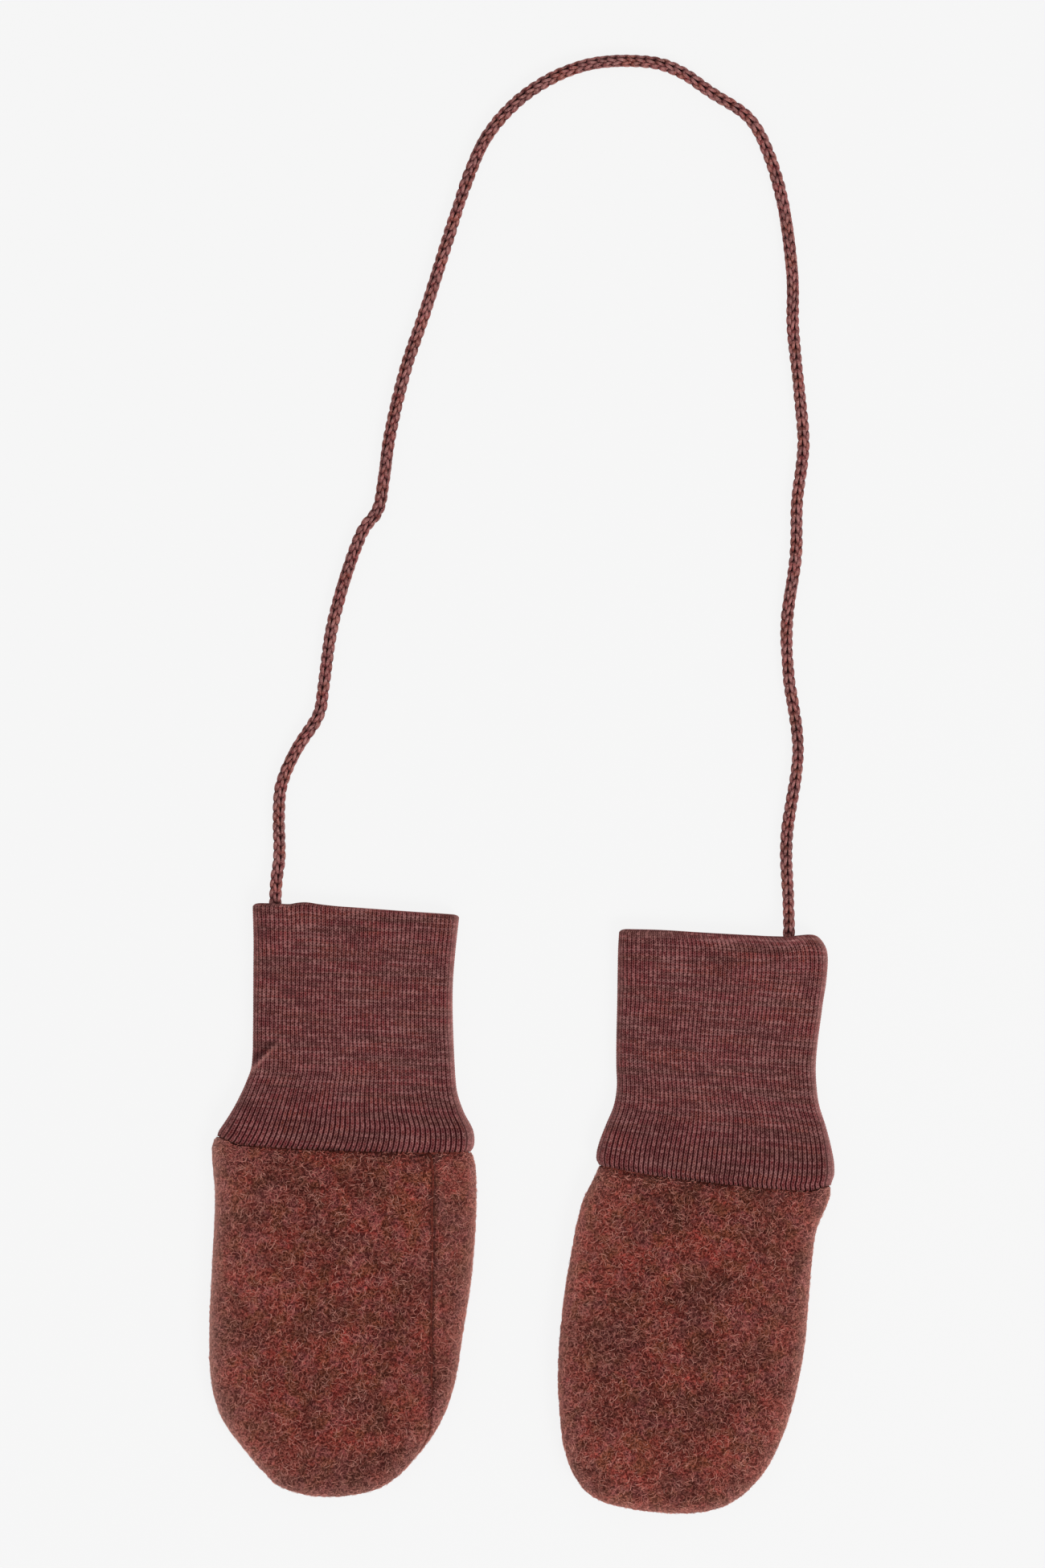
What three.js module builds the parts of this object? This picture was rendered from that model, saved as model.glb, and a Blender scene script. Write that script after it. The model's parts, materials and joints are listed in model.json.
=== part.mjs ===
import * as THREE from 'three';
import { mergeVertices } from 'three/addons/utils/BufferGeometryUtils.js';

// A pair of thumbless baby mittens on one cord, laid flat, in millimetres.
// X runs across the pair, Y from the fingertips to the cuffs, and Z up from the surface.
// Each mitten is modelled in its own frame: Y = 0 on its cuff seam, the hand below and the cuff above.

// Cloth
const FLEECE_WALL = 2.6;
const CUFF_WALL = 1.9;
const SEAM_GAP = 0.3;

// Hand: how thick the laid hand is, and how its panels round over at the edge
const EDGE_HEIGHT = 7.2;
const EDGE_RADIUS = 4;
const CROWN = 0.9;
const SEAM_DIP = 0.5;
const DIP_WIDTH = 1.3;
const FAN_DEPTH = 78;
const FAN_POWER = 1.7;
const RAYS = 19;
const COLUMNS = 8;

// Seam between cuff and hand: a groove across the top, and how the line sags in its middle
const GROOVE_SHARE = 0.16;
const GROOVE_WIDTH = 2.2;
const HALF_SEAM = 39;
const SAG_POWER = 2.5;
const SAG_FADE = 22;

// Cuff: its ribs across the top and round each edge, none on the flat underside
const TOP_RIBS = 44;
const EDGE_RIBS = 7;
const RIB_DEPTH = 0.4;
const UNDER_COLUMNS = 5;
const LIP_STEPS = 3;
const CREASE_FADE = 0.8;

// Cord, and the soft bulge of the cuff's front layer over its end
const CORD_DIAMETER = 3.8;
const CORD_SIDES = 8;
const CORD_STEPS = 78;
const CORD_INSIDE = 8;
const CORD_AT_MOUTH = CUFF_WALL + SEAM_GAP + CORD_DIAMETER / 2;
const CORD_ON_SURFACE = CORD_DIAMETER / 2 + 0.1;
const CORD_LANDING = CORD_ON_SURFACE + 0.1;
const CORD_LEAVING = 3;
const BULGE_LIFT = 3;
const BULGE_HALF_WIDTH = 6.6;
const BULGE_FULL = CORD_INSIDE + 2;
const BULGE_FADE = 9;

// The left mitten. hand: a row per level below the cuff seam. tip: the lowest stretch of the outline.
// seams: how far the long seam at each side is turned in from the edge, onto the top at the right
// and underneath at the left. cuff: a row per level above the seam, with the height of the laid cuff,
// and whether the plain inside of its wall has a row there too.
const LEFT = {
  name: 'left',
  centre: { x: -53.4, y: 18 },
  turn: -2.13,
  tilt: -1.1,
  sag: 1.2,
  hand: [
    { down: 0, left: -38.8, right: 38.5 },
    { down: 5, left: -38.9, right: 39.6 },
    { down: 16, left: -37.7, right: 40.2 },
    { down: 36, left: -37.8, right: 39.6 },
    { down: 54, left: -37.9, right: 37.6 },
    { down: 70, left: -36.9, right: 35.5 },
    { down: 80, left: -34.1, right: 32.2 },
    { down: 90, left: -27.4, right: 26.5 },
    { down: 98, left: -20.2, right: 19.6 },
  ],
  tip: [
    { x: -15.3, down: 102 },
    { x: -2.5, down: 104.6 },
    { x: 13.3, down: 102 },
  ],
  seams: [
    { down: 0, inset: 14.3 },
    { down: 17, inset: 15 },
    { down: 31, inset: 14.1 },
    { down: 41, inset: 13.2 },
    { down: 50, inset: 12 },
    { down: 60, inset: 10.5 },
    { down: 70, inset: 8.9 },
    { down: 80, inset: 5.6 },
    { down: 86, inset: 2 },
    { down: 92, inset: 0 },
  ],
  cuff: [
    { up: 0, left: -38.3, right: 38.3, height: 6.6, inside: true },
    { up: 1.2, left: -38.6, right: 38.9, height: 7.8, inside: false },
    { up: 3.2, left: -37.6, right: 39.1, height: 8.2, inside: true },
    { up: 6, left: -36.3, right: 38.7, height: 7.9, inside: false },
    { up: 12, left: -32.8, right: 35.5, height: 7, inside: false },
    { up: 18, left: -29.8, right: 33.3, height: 6.2, inside: true },
    { up: 22, left: -28.5, right: 32.7, height: 5.9, inside: false },
    { up: 26, left: -28.2, right: 32.3, height: 5.7, inside: false },
    { up: 32, left: -28.3, right: 31.8, height: 5.6, inside: true },
    { up: 51, left: -28.9, right: 30.9, height: 5.6, inside: true },
    { up: 60.3, left: -29.2, right: 31.3, height: 5.6, inside: true },
    { up: 70.3, left: -29.8, right: 32, height: 5.6, inside: true },
  ],
  cordX: -23.4,
  crease: { from: { x: -29, y: 21.4 }, to: { x: -18.4, y: 33.2 }, height: 1.1, width: 3.2 },
};

// The right mitten, whose long seams lie on its edges
const RIGHT = {
  name: 'right',
  centre: { x: 57.2, y: 9.2 },
  turn: -6.46,
  tilt: 4.1,
  sag: 2.1,
  hand: [
    { down: 0, left: -34.9, right: 35.2 },
    { down: 5, left: -36.4, right: 34.3 },
    { down: 12, left: -38.7, right: 32.4 },
    { down: 28, left: -40.3, right: 32.3 },
    { down: 46, left: -40.9, right: 32.8 },
    { down: 62, left: -40.3, right: 31.7 },
    { down: 76, left: -38.1, right: 28.9 },
    { down: 86, left: -35.5, right: 24.9 },
    { down: 94, left: -31.3, right: 18.8 },
  ],
  tip: [
    { x: -25.2, down: 99.2 },
    { x: -8.2, down: 101.6 },
    { x: 10.2, down: 99.2 },
  ],
  seams: [
    { down: 0, inset: 0 },
    { down: 98, inset: 0 },
  ],
  cuff: [
    { up: 0, left: -34.6, right: 34.9, height: 6.6, inside: true },
    { up: 1.2, left: -35.5, right: 35.1, height: 7.8, inside: false },
    { up: 3.2, left: -35.8, right: 35.5, height: 8.2, inside: true },
    { up: 6, left: -35.5, right: 35.3, height: 7.9, inside: false },
    { up: 12, left: -34, right: 33.7, height: 7, inside: false },
    { up: 18, left: -32.3, right: 31.4, height: 6.2, inside: true },
    { up: 24, left: -32, right: 28.7, height: 5.8, inside: false },
    { up: 30, left: -32.8, right: 27.2, height: 5.6, inside: true },
    { up: 52, left: -34.9, right: 26.4, height: 5.6, inside: true },
    { up: 61.5, left: -35.8, right: 26.4, height: 5.6, inside: true },
    { up: 67.5, left: -36.3, right: 25.8, height: 5.6, inside: false },
    { up: 70.6, left: -36.5, right: 24.5, height: 5.6, inside: false },
    { up: 71.9, left: -36.2, right: 22.8, height: 5.6, inside: true },
  ],
  cordX: 14.2,
  crease: null,
};

// The cord's route from the left cuff to the right one, chosen by hand
const CORD_ROUTE = [
  { x: -73.9, y: 82.6, z: CORD_AT_MOUTH },
  { x: -73.7, y: 90.6, z: CORD_AT_MOUTH },
  { x: -73.4, y: 97.6, z: CORD_LEAVING },
  { x: -72.5, y: 105, z: CORD_LANDING },
  { x: -72.7, y: 116.5, z: CORD_ON_SURFACE },
  { x: -71.9, y: 126, z: CORD_ON_SURFACE },
  { x: -67.6, y: 136.2, z: CORD_ON_SURFACE },
  { x: -61, y: 146.6, z: CORD_ON_SURFACE },
  { x: -59.4, y: 155, z: CORD_ON_SURFACE },
  { x: -57.2, y: 171, z: CORD_ON_SURFACE },
  { x: -53.4, y: 186, z: CORD_ON_SURFACE },
  { x: -48, y: 201, z: CORD_ON_SURFACE },
  { x: -43.2, y: 208, z: CORD_ON_SURFACE },
  { x: -41.4, y: 217, z: CORD_ON_SURFACE },
  { x: -39.5, y: 230.6, z: CORD_ON_SURFACE },
  { x: -35, y: 249.6, z: CORD_ON_SURFACE },
  { x: -28.6, y: 268.6, z: CORD_ON_SURFACE },
  { x: -16.1, y: 307.4, z: CORD_ON_SURFACE },
  { x: -8, y: 323, z: CORD_ON_SURFACE },
  { x: 4.6, y: 334.4, z: CORD_ON_SURFACE },
  { x: 20, y: 340.9, z: CORD_ON_SURFACE },
  { x: 36.4, y: 341.7, z: CORD_ON_SURFACE },
  { x: 46.6, y: 338.9, z: CORD_ON_SURFACE },
  { x: 56.4, y: 332.4, z: CORD_ON_SURFACE },
  { x: 67.4, y: 325, z: CORD_ON_SURFACE },
  { x: 73.4, y: 314.2, z: CORD_ON_SURFACE },
  { x: 77.9, y: 298.2, z: CORD_ON_SURFACE },
  { x: 80.5, y: 278, z: CORD_ON_SURFACE },
  { x: 80.7, y: 262, z: CORD_ON_SURFACE },
  { x: 82.6, y: 243, z: CORD_ON_SURFACE },
  { x: 83.8, y: 227, z: CORD_ON_SURFACE },
  { x: 81.9, y: 210.4, z: CORD_ON_SURFACE },
  { x: 81.5, y: 194, z: CORD_ON_SURFACE },
  { x: 78.9, y: 175, z: CORD_ON_SURFACE },
  { x: 79.4, y: 158.6, z: CORD_ON_SURFACE },
  { x: 82.2, y: 136, z: CORD_ON_SURFACE },
  { x: 78.8, y: 110.4, z: CORD_LANDING },
  { x: 79.3, y: 91, z: CORD_LEAVING },
  { x: 79.4, y: 82, z: CORD_AT_MOUTH },
  { x: 78.5, y: 73.8, z: CORD_AT_MOUTH },
];

// Materials
const fleeceTop = new THREE.MeshStandardMaterial({ color: 0x6d3932, roughness: 0.95, metalness: 0 });
const fleeceUnder = new THREE.MeshStandardMaterial({ color: 0x713b34, roughness: 0.95, metalness: 0 });
const cuffKnit = new THREE.MeshStandardMaterial({ color: 0x6b3e3d, roughness: 0.9, metalness: 0 });
const cordKnit = new THREE.MeshStandardMaterial({ color: 0x764b49, roughness: 0.9, metalness: 0 });

const rad = THREE.MathUtils.degToRad;
const lerp = THREE.MathUtils.lerp;

// A table's column at a level, in straight steps between its rows
function fromTable(rows, key, column, level) {
  const last = rows.length - 1;
  if (level >= rows[last][key]) return rows[last][column];
  const after = Math.max(1, rows.findIndex((row) => row[key] > level));
  const a = rows[after - 1];
  const b = rows[after];
  return lerp(a[column], b[column], Math.max(0, (level - a[key]) / (b[key] - a[key])));
}

// How far a point is from a crease, as a share of its height: 1 on it, 0 a width away
function creaseShare(crease, x, y) {
  const line = new THREE.Line3(
    new THREE.Vector3(crease.from.x, crease.from.y, 0),
    new THREE.Vector3(crease.to.x, crease.to.y, 0),
  );
  const point = new THREE.Vector3(x, y, 0);
  const along = line.closestPointToPointParameter(point, true);
  const near = line.at(along, new THREE.Vector3()).distanceTo(point);
  const side = Math.max(0, 1 - near / crease.width);
  return side * side * (3 - 2 * side) * (1 - CREASE_FADE * along * along);
}

// Bends a mitten's straight cuff seam into its sagging line, and sinks the groove along it
function settle(mitten, point) {
  const across = Math.min(1, Math.abs(point.x) / HALF_SEAM);
  const near = Math.max(0, 1 - Math.abs(point.y) / SAG_FADE);
  const groove = GROOVE_SHARE * Math.exp(-((point.y / GROOVE_WIDTH) ** 2));
  return new THREE.Vector3(
    point.x,
    point.y - mitten.sag * (1 - across ** SAG_POWER) * near * near,
    point.z * (1 - groove),
  );
}

// A closed body from rings of points. A cuff's last ring joins its first. A panel's first and last
// ring are capped, and the strip between its outer and inner end is left out, because its two
// halves share the spine's points.
function bodyFromRings(rings, isPanel) {
  const count = rings[0].length;
  const outerEnd = count / 2 - 1;
  const lastRing = (rings.length - 1) * count;
  const index = [];
  const quad = (a, b, c, d) => index.push(a, b, c, a, c, d);
  const strip = (from, to, skip) => {
    for (let c = 0; c < count; c += 1) {
      const next = (c + 1) % count;
      if (c !== skip) quad(from + c, from + next, to + next, to + c);
    }
  };
  for (let r = 0; r < lastRing; r += count) {
    strip(r, r + count, isPanel ? outerEnd : -1);
  }
  if (isPanel) {
    for (let c = 0; c < outerEnd; c += 1) {
      const opposite = count - 1 - c;
      quad(c, opposite, opposite - 1, c + 1);
      quad(lastRing + c, lastRing + c + 1, lastRing + opposite - 1, lastRing + opposite);
    }
  } else {
    strip(lastRing, 0, -1);
  }
  const positions = rings.flat().flatMap((p) => [p.x, p.y, p.z]);
  const geometry = new THREE.BufferGeometry();
  geometry.setAttribute('position', new THREE.Float32BufferAttribute(positions, 3));
  geometry.setIndex(index);
  return outward(mergeVertices(geometry, 1e-4));
}

// Turns every face if the body is inside out
function outward(geometry) {
  const at = geometry.getAttribute('position');
  const index = geometry.getIndex().array;
  const corner = [0, 1, 2].map(() => new THREE.Vector3());
  let volume = 0;
  for (let f = 0; f < index.length; f += 3) {
    corner.forEach((v, k) => v.fromBufferAttribute(at, index[f + k]));
    volume += corner[0].dot(corner[1].clone().cross(corner[2]));
  }
  if (volume < 0) {
    for (let f = 0; f < index.length; f += 3) {
      [index[f + 1], index[f + 2]] = [index[f + 2], index[f + 1]];
    }
  }
  geometry.computeVertexNormals();
  return geometry;
}

// The section of a laid hand from its edge inwards to the spine, from the spine underneath, round
// the edge, to the spine on top: in = distance from the outline, up = height, length = along it
// from the edge's middle, spread = a measure that grows with length and with turning.
function handSection(reach) {
  const half = EDGE_HEIGHT / 2;
  const flatSteps = 10;
  const turnSteps = 16;
  const turnWeight = 12;
  const points = [];
  for (let k = flatSteps; k > 0; k -= 1) {
    points.push({ in: lerp(EDGE_RADIUS, reach, k / flatSteps), up: 0 });
  }
  for (let k = 0; k <= turnSteps; k += 1) {
    const angle = Math.PI * (k / turnSteps - 0.5);
    points.push({ in: EDGE_RADIUS * (1 - Math.cos(angle)), up: half * (1 + Math.sin(angle)) });
  }
  for (let k = 1; k <= flatSteps; k += 1) {
    const share = k / flatSteps;
    const rise = CROWN * share * share * (3 - 2 * share);
    points.push({ in: lerp(EDGE_RADIUS, reach, share), up: EDGE_HEIGHT + rise });
  }
  let length = 0;
  let spread = 0;
  points.forEach((p, k) => {
    const before = points[Math.max(0, k - 1)];
    const after = points[Math.min(points.length - 1, k + 1)];
    const heading = Math.atan2(after.up - before.up, after.in - before.in);
    p.heading = heading;
    if (k > 0) {
      const turned = Math.abs(Math.atan2(
        Math.sin(heading - before.heading),
        Math.cos(heading - before.heading),
      ));
      length += Math.hypot(p.in - before.in, p.up - before.up);
      spread += Math.hypot(p.in - before.in, p.up - before.up) + turnWeight * turned;
    }
    p.length = length;
    p.spread = spread;
  });
  const middle = points[flatSteps + turnSteps / 2].length;
  points.forEach((p) => {
    p.length -= middle;
    p.inwardIn = Math.sin(p.heading);
    p.inwardUp = -Math.cos(p.heading);
  });
  const first = points[0];
  const last = points[points.length - 1];
  Object.assign(first, { inwardIn: 0, inwardUp: 1 });
  Object.assign(last, { inwardIn: 0, inwardUp: -1 });
  return points;
}

// The section's point where one of its measures has a value
function onSection(section, measure, value) {
  const lastStep = section.length - 2;
  const found = section.findIndex((p) => p[measure] > value) - 1;
  const step = found < 0 ? lastStep : found;
  const a = section[step];
  const b = section[step + 1];
  const share = THREE.MathUtils.clamp((value - a[measure]) / (b[measure] - a[measure]), 0, 1);
  const mixed = {};
  Object.keys(a).forEach((key) => {
    mixed[key] = lerp(a[key], b[key], share);
  });
  return mixed;
}

// One panel's slice of a section: from the seam to the spine, outer points then inner points back
function panelSlice(section, seamAt, onTop) {
  const side = onTop ? 1 : -1;
  const end = onTop ? section[section.length - 1] : section[0];
  const cut = onSection(section, 'length', seamAt + side * SEAM_GAP / 2);
  const shoulder = onSection(section, 'length', seamAt + side * (SEAM_GAP / 2 + DIP_WIDTH));
  const points = [cut];
  for (let k = 0; k < COLUMNS; k += 1) {
    points.push(onSection(section, 'spread', lerp(shoulder.spread, end.spread, k / COLUMNS)));
  }
  points.push(end);
  const moved = (p, depth) => ({ in: p.in + p.inwardIn * depth, up: p.up + p.inwardUp * depth });
  const outer = points.map((p, k) => moved(p, k === 0 && p.up > 0.5 ? SEAM_DIP : 0));
  const inner = points.map((p) => moved(p, FLEECE_WALL));
  return outer.concat(inner.reverse());
}

// A hand panel, swept by rays from the outline to the spine: down the left side, round the tip
// and up the right side, so that its two long halves meet along the spine.
function handPanel(mitten, onTop) {
  const level = (row) => -row.down - SEAM_GAP / 2;
  const outline = new THREE.CatmullRomCurve3([
    ...mitten.hand.map((row) => new THREE.Vector3(row.left, level(row), 0)),
    ...mitten.tip.map((row) => new THREE.Vector3(row.x, level(row), 0)),
    ...[...mitten.hand].reverse().map((row) => new THREE.Vector3(row.right, level(row), 0)),
  ]);
  outline.arcLengthDivisions = 400;
  const rings = [];
  for (let ray = 0; ray <= 2 * RAYS; ray += 1) {
    const share = Math.min(ray, 2 * RAYS - ray) / RAYS;
    const edge = outline.getPointAt(ray / (2 * RAYS));
    const opposite = outline.getPointAt(1 - ray / (2 * RAYS));
    const spine = new THREE.Vector3(
      (edge.x + opposite.x) / 2,
      -SEAM_GAP / 2 - FAN_DEPTH * (1 - (1 - share) ** FAN_POWER),
      0,
    );
    const reach = edge.distanceTo(spine);
    const inwards = spine.clone().sub(edge).divideScalar(reach);
    const turnedIn = fromTable(mitten.seams, 'down', 'inset', -edge.y) * (ray < RAYS ? -1 : 1);
    const slice = panelSlice(handSection(reach), turnedIn, onTop);
    rings.push(slice.map((p) => settle(
      mitten,
      edge.clone().addScaledVector(inwards, p.in).setZ(p.up),
    )));
  }
  return bodyFromRings(rings, true);
}

// How much of the bulge over the cord's end a point of the cuff's front layer has, 0 to 1
function bulgeShare(mitten, x, belowMouth) {
  const aside = Math.abs(x - mitten.cordX) / BULGE_HALF_WIDTH;
  const inside = Math.max(0, 1 - Math.max(0, belowMouth - BULGE_FULL) / BULGE_FADE);
  return aside < 1 ? Math.cos(aside * Math.PI / 2) ** 2 * inside : 0;
}

// A cuff: rings round its flat tube, up the outside, over the fold at the mouth, down the inside.
// The outside has a rib on every second column, and its valleys are sunk between the ribs.
function cuff(mitten) {
  const rows = mitten.cuff;
  const lastRow = rows[rows.length - 1];
  const top = lastRow.up;
  const tilt = Math.tan(rad(mitten.tilt));
  const edgeColumns = 2 * EDGE_RIBS;
  const topColumns = 2 * TOP_RIBS;

  const ring = (row, up, depth) => {
    const half = row.height / 2;
    const sunk = RIB_DEPTH * (1 - depth / CUFF_WALL);
    const inset = (k) => depth + (k % 2 === 0 ? sunk : 0);
    const points = [];
    const place = (x, z, lifts) => {
      const y = up + SEAM_GAP / 2 + tilt * x * (up / top);
      const bulge = BULGE_LIFT * bulgeShare(mitten, x, top - up);
      const fold = mitten.crease ? mitten.crease.height * creaseShare(mitten.crease, x, y) : 0;
      points.push(settle(mitten, new THREE.Vector3(x, y, z + (lifts ? bulge + fold : 0))));
    };
    for (let k = 1; k < edgeColumns; k += 1) {
      const angle = Math.PI * (k / edgeColumns - 0.5);
      const radius = half - inset(k);
      place(row.left + half - radius * Math.cos(angle), half + radius * Math.sin(angle), false);
    }
    for (let k = 0; k <= topColumns; k += 1) {
      const x = lerp(row.left + half, row.right - half, k / topColumns);
      place(x, row.height - inset(k), true);
    }
    for (let k = 1; k < edgeColumns; k += 1) {
      const angle = Math.PI * (0.5 - k / edgeColumns);
      const radius = half - inset(k);
      place(row.right - half + radius * Math.cos(angle), half + radius * Math.sin(angle), false);
    }
    for (let k = 0; k <= UNDER_COLUMNS; k += 1) {
      place(lerp(row.right - half, row.left + half, k / UNDER_COLUMNS), depth, false);
    }
    return points;
  };

  const outside = rows.map((row) => ring(row, row.up, 0));
  const lip = [];
  for (let k = 1; k < LIP_STEPS; k += 1) {
    const angle = Math.PI * (k / LIP_STEPS);
    const depth = CUFF_WALL / 2 * (1 - Math.cos(angle));
    lip.push(ring(lastRow, top + CUFF_WALL / 2 * Math.sin(angle), depth));
  }
  const inside = rows.filter((row) => row.inside).map((row) => ring(row, row.up, CUFF_WALL));
  return bodyFromRings([...outside, ...lip, ...inside.reverse()], false);
}

// The cord: a round section carried along its route
function cord() {
  const route = new THREE.CatmullRomCurve3(
    CORD_ROUTE.map((p) => new THREE.Vector3(p.x, p.y, p.z)),
    false,
    'catmullrom',
    0.5,
  );
  const section = new THREE.Shape();
  for (let k = 0; k < CORD_SIDES; k += 1) {
    const angle = 2 * Math.PI * (k / CORD_SIDES);
    const x = CORD_DIAMETER / 2 * Math.cos(angle);
    const y = CORD_DIAMETER / 2 * Math.sin(angle);
    if (k === 0) section.moveTo(x, y);
    else section.lineTo(x, y);
  }
  section.closePath();
  return new THREE.ExtrudeGeometry(section, {
    steps: CORD_STEPS,
    bevelEnabled: false,
    extrudePath: route,
  });
}

function named(name, geometry, material) {
  const mesh = new THREE.Mesh(geometry, material);
  mesh.name = name;
  return mesh;
}

// One mitten: the panel that lies on top, the one underneath, and the cuff
function mitten(shape, topName, underName) {
  const group = new THREE.Group();
  group.position.set(shape.centre.x, shape.centre.y, 0);
  group.rotation.z = rad(shape.turn);
  group.add(named(`${shape.name}_${topName}`, handPanel(shape, true), fleeceTop));
  group.add(named(`${shape.name}_${underName}`, handPanel(shape, false), fleeceUnder));
  group.add(named(`${shape.name}_cuff`, cuff(shape), cuffKnit));
  return group;
}

const pair = new THREE.Group();
pair.add(mitten(LEFT, 'hand_back', 'hand_palm'));
pair.add(mitten(RIGHT, 'hand_back', 'hand_palm'));
pair.add(named('cord', cord(), cordKnit));

export default pair;
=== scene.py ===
"""A pair of thumbless baby mittens in boiled wool fleece, with long rib cuffs and one knitted cord.

Shapes are worked out in millimetres as whole numpy arrays and put into meshes in metres. Each mitten
has its own frame: y = 0 on its cuff seam, the hand below it and the cuff above it, z up.
"""

import json
import math

import bpy
import numpy as np
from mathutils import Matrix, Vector

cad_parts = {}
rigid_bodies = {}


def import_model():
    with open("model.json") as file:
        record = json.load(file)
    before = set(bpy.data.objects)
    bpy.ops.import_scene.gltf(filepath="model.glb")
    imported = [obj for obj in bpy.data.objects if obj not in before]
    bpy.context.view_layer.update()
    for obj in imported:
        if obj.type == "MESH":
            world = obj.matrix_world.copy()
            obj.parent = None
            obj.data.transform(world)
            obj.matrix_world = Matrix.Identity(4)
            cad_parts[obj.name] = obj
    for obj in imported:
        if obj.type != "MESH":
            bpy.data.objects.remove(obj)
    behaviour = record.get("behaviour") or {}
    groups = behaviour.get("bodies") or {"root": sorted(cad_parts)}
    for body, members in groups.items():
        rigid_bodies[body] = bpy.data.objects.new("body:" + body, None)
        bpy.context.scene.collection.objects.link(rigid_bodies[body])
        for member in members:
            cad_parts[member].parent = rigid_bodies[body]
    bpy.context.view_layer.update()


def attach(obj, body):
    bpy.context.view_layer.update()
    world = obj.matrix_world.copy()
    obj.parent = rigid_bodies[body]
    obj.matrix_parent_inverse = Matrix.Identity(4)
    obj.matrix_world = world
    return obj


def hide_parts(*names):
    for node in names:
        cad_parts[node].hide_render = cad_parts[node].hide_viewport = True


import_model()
MM = 0.001
SEED = 20

# Cloth, as the part has it
FLEECE_WALL = 2.6
CUFF_WALL = 1.9
SEAM_GAP = 0.3
EDGE_HEIGHT = 7.2
EDGE_RADIUS = 4.0
CROWN = 0.9
FAN_DEPTH = 78.0
FAN_POWER = 1.7
GROOVE_SHARE = 0.16
GROOVE_WIDTH = 2.2
HALF_SEAM = 39.0
SAG_POWER = 2.5
SAG_FADE = 22.0
CORNER_REACH = 7.0
EDGE_RIBS = 7
TOP_RIBS = 44
BULGE_LIFT = 3.0
BULGE_HALF_WIDTH = 6.6
BULGE_FULL = 10.0
BULGE_FADE = 9.0
CORD_DIAMETER = 3.8
CORD_AT_MOUTH = 4.1
CORD_ON_SURFACE = 2.0
CORD_LANDING = 2.1
CORD_LEAVING = 3.0

# Each mitten's tables. hand: down, left, right. tip: x, down. seams: down, inset. cuff: up, left,
# right, height. mouth: x, how far the fold rises over its straight line. creases: from x, y, to x,
# y, height, width. corner: the x at which the cuff seam rises most, and how far. rounds: the
# fold's left and right corners, how far each comes in and over what height. The last pair: how
# strong the painted highlight along the outline is at the left and at the right.
LEFT = dict(
    name="left",
    centre=(-53.4, 18.0),
    turn=-2.13,
    tilt=-1.1,
    sag=1.2,
    hand=[
        (0, -37.9, 38.1), (1.2, -38.7, 38.7), (2.6, -39.1, 39.1), (5, -39.0, 39.6), (16, -37.7, 40.2),
        (36, -37.8, 39.6), (54, -37.9, 37.6), (70, -36.9, 35.5), (80, -34.1, 32.2), (90, -27.4, 26.5),
        (98, -20.2, 19.6),
    ],
    tip=[(-15.3, 102), (-2.5, 104.6), (13.3, 102)],
    seams=[
        (0, 14.3), (17, 15), (31, 14.1), (41, 13.2), (50, 12), (60, 10.5), (70, 8.9), (80, 5.6), (86, 2),
        (92, 0),
    ],
    cuff=[
        (0, -37.8, 38.0, 6.6), (0.8, -37.7, 38.6, 7.5), (1.9, -37.4, 39.0, 8.0), (3.4, -36.7, 39.1, 8.2),
        (6, -35.4, 38.7, 7.9), (12, -32.4, 35.5, 7.0), (18, -29.8, 33.3, 6.2), (22, -28.5, 32.7, 5.9),
        (26, -28.2, 32.3, 5.7), (32, -28.3, 31.8, 5.6), (51, -28.9, 30.9, 5.6), (60.3, -29.2, 31.3, 5.6),
        (70.3, -29.8, 32.0, 5.6),
    ],
    mouth=[
        (-30, -0.25), (-22, 0.0), (-18.6, 0.05), (-16, 0.65), (-13.5, 0.85), (-10.5, 0.55), (-7, 0.3),
        (2, 0.1), (14, -0.1), (32, -0.3),
    ],
    cord_x=-23.4,
    creases=[(-29, 21.6, -18.4, 33.4, 1.8, 3.2)],
    corner=(-38.0, 1.9),
    rounds=((1.3, 1.3), (0.9, 0.9)),
    sheen_sides=(1.5, 1.0),
)
RIGHT = dict(
    name="right",
    centre=(57.2, 9.2),
    turn=-6.46,
    tilt=4.1,
    sag=2.1,
    hand=[
        (0, -34.9, 35.0), (2, -35.4, 35.4), (5, -36.4, 34.7), (12, -38.7, 32.5), (28, -40.3, 32.3),
        (46, -40.9, 32.8), (62, -40.3, 31.7), (76, -38.1, 28.9), (86, -35.5, 24.9), (94, -31.3, 18.8),
    ],
    tip=[(-25.2, 99.2), (-8.2, 101.6), (10.2, 99.2)],
    seams=[(0, 0), (98, 0)],
    cuff=[
        (0, -34.6, 34.9, 6.6), (1.2, -35.5, 35.1, 7.8), (3.2, -35.8, 35.5, 8.2), (6, -35.5, 35.3, 7.9),
        (12, -34, 33.7, 7.0), (18, -32.3, 31.4, 6.2), (24, -32, 28.7, 5.8), (30, -32.8, 27.2, 5.6),
        (52, -34.9, 26.4, 5.6), (61.5, -35.8, 26.7, 5.6), (67.5, -36.3, 26.2, 5.6), (71.9, -36.5, 24.7, 5.6),
    ],
    mouth=[
        (-36, -0.2), (-24, 0.0), (-12, -0.25), (2, -0.45), (10, -0.5), (14, -0.35), (16.5, 0.0),
        (19.5, 0.4), (26, 0.2),
    ],
    cord_x=14.2,
    creases=[
        (-14.5, 18.6, -6.4, 16.1, 0.55, 2.4),
        (-0.2, 37.2, 9.3, 37.0, 0.5, 2.6),
        (-18.9, 30.8, -5.5, 29.4, 0.45, 2.4),
        (-5.5, 29.4, 8.4, 30.1, 0.55, 2.4),
    ],
    corner=(35.0, 1.7),
    rounds=((1.2, 1.2), (3.4, 4.6)),
    sheen_sides=(1.05, 1.3),
)

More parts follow.
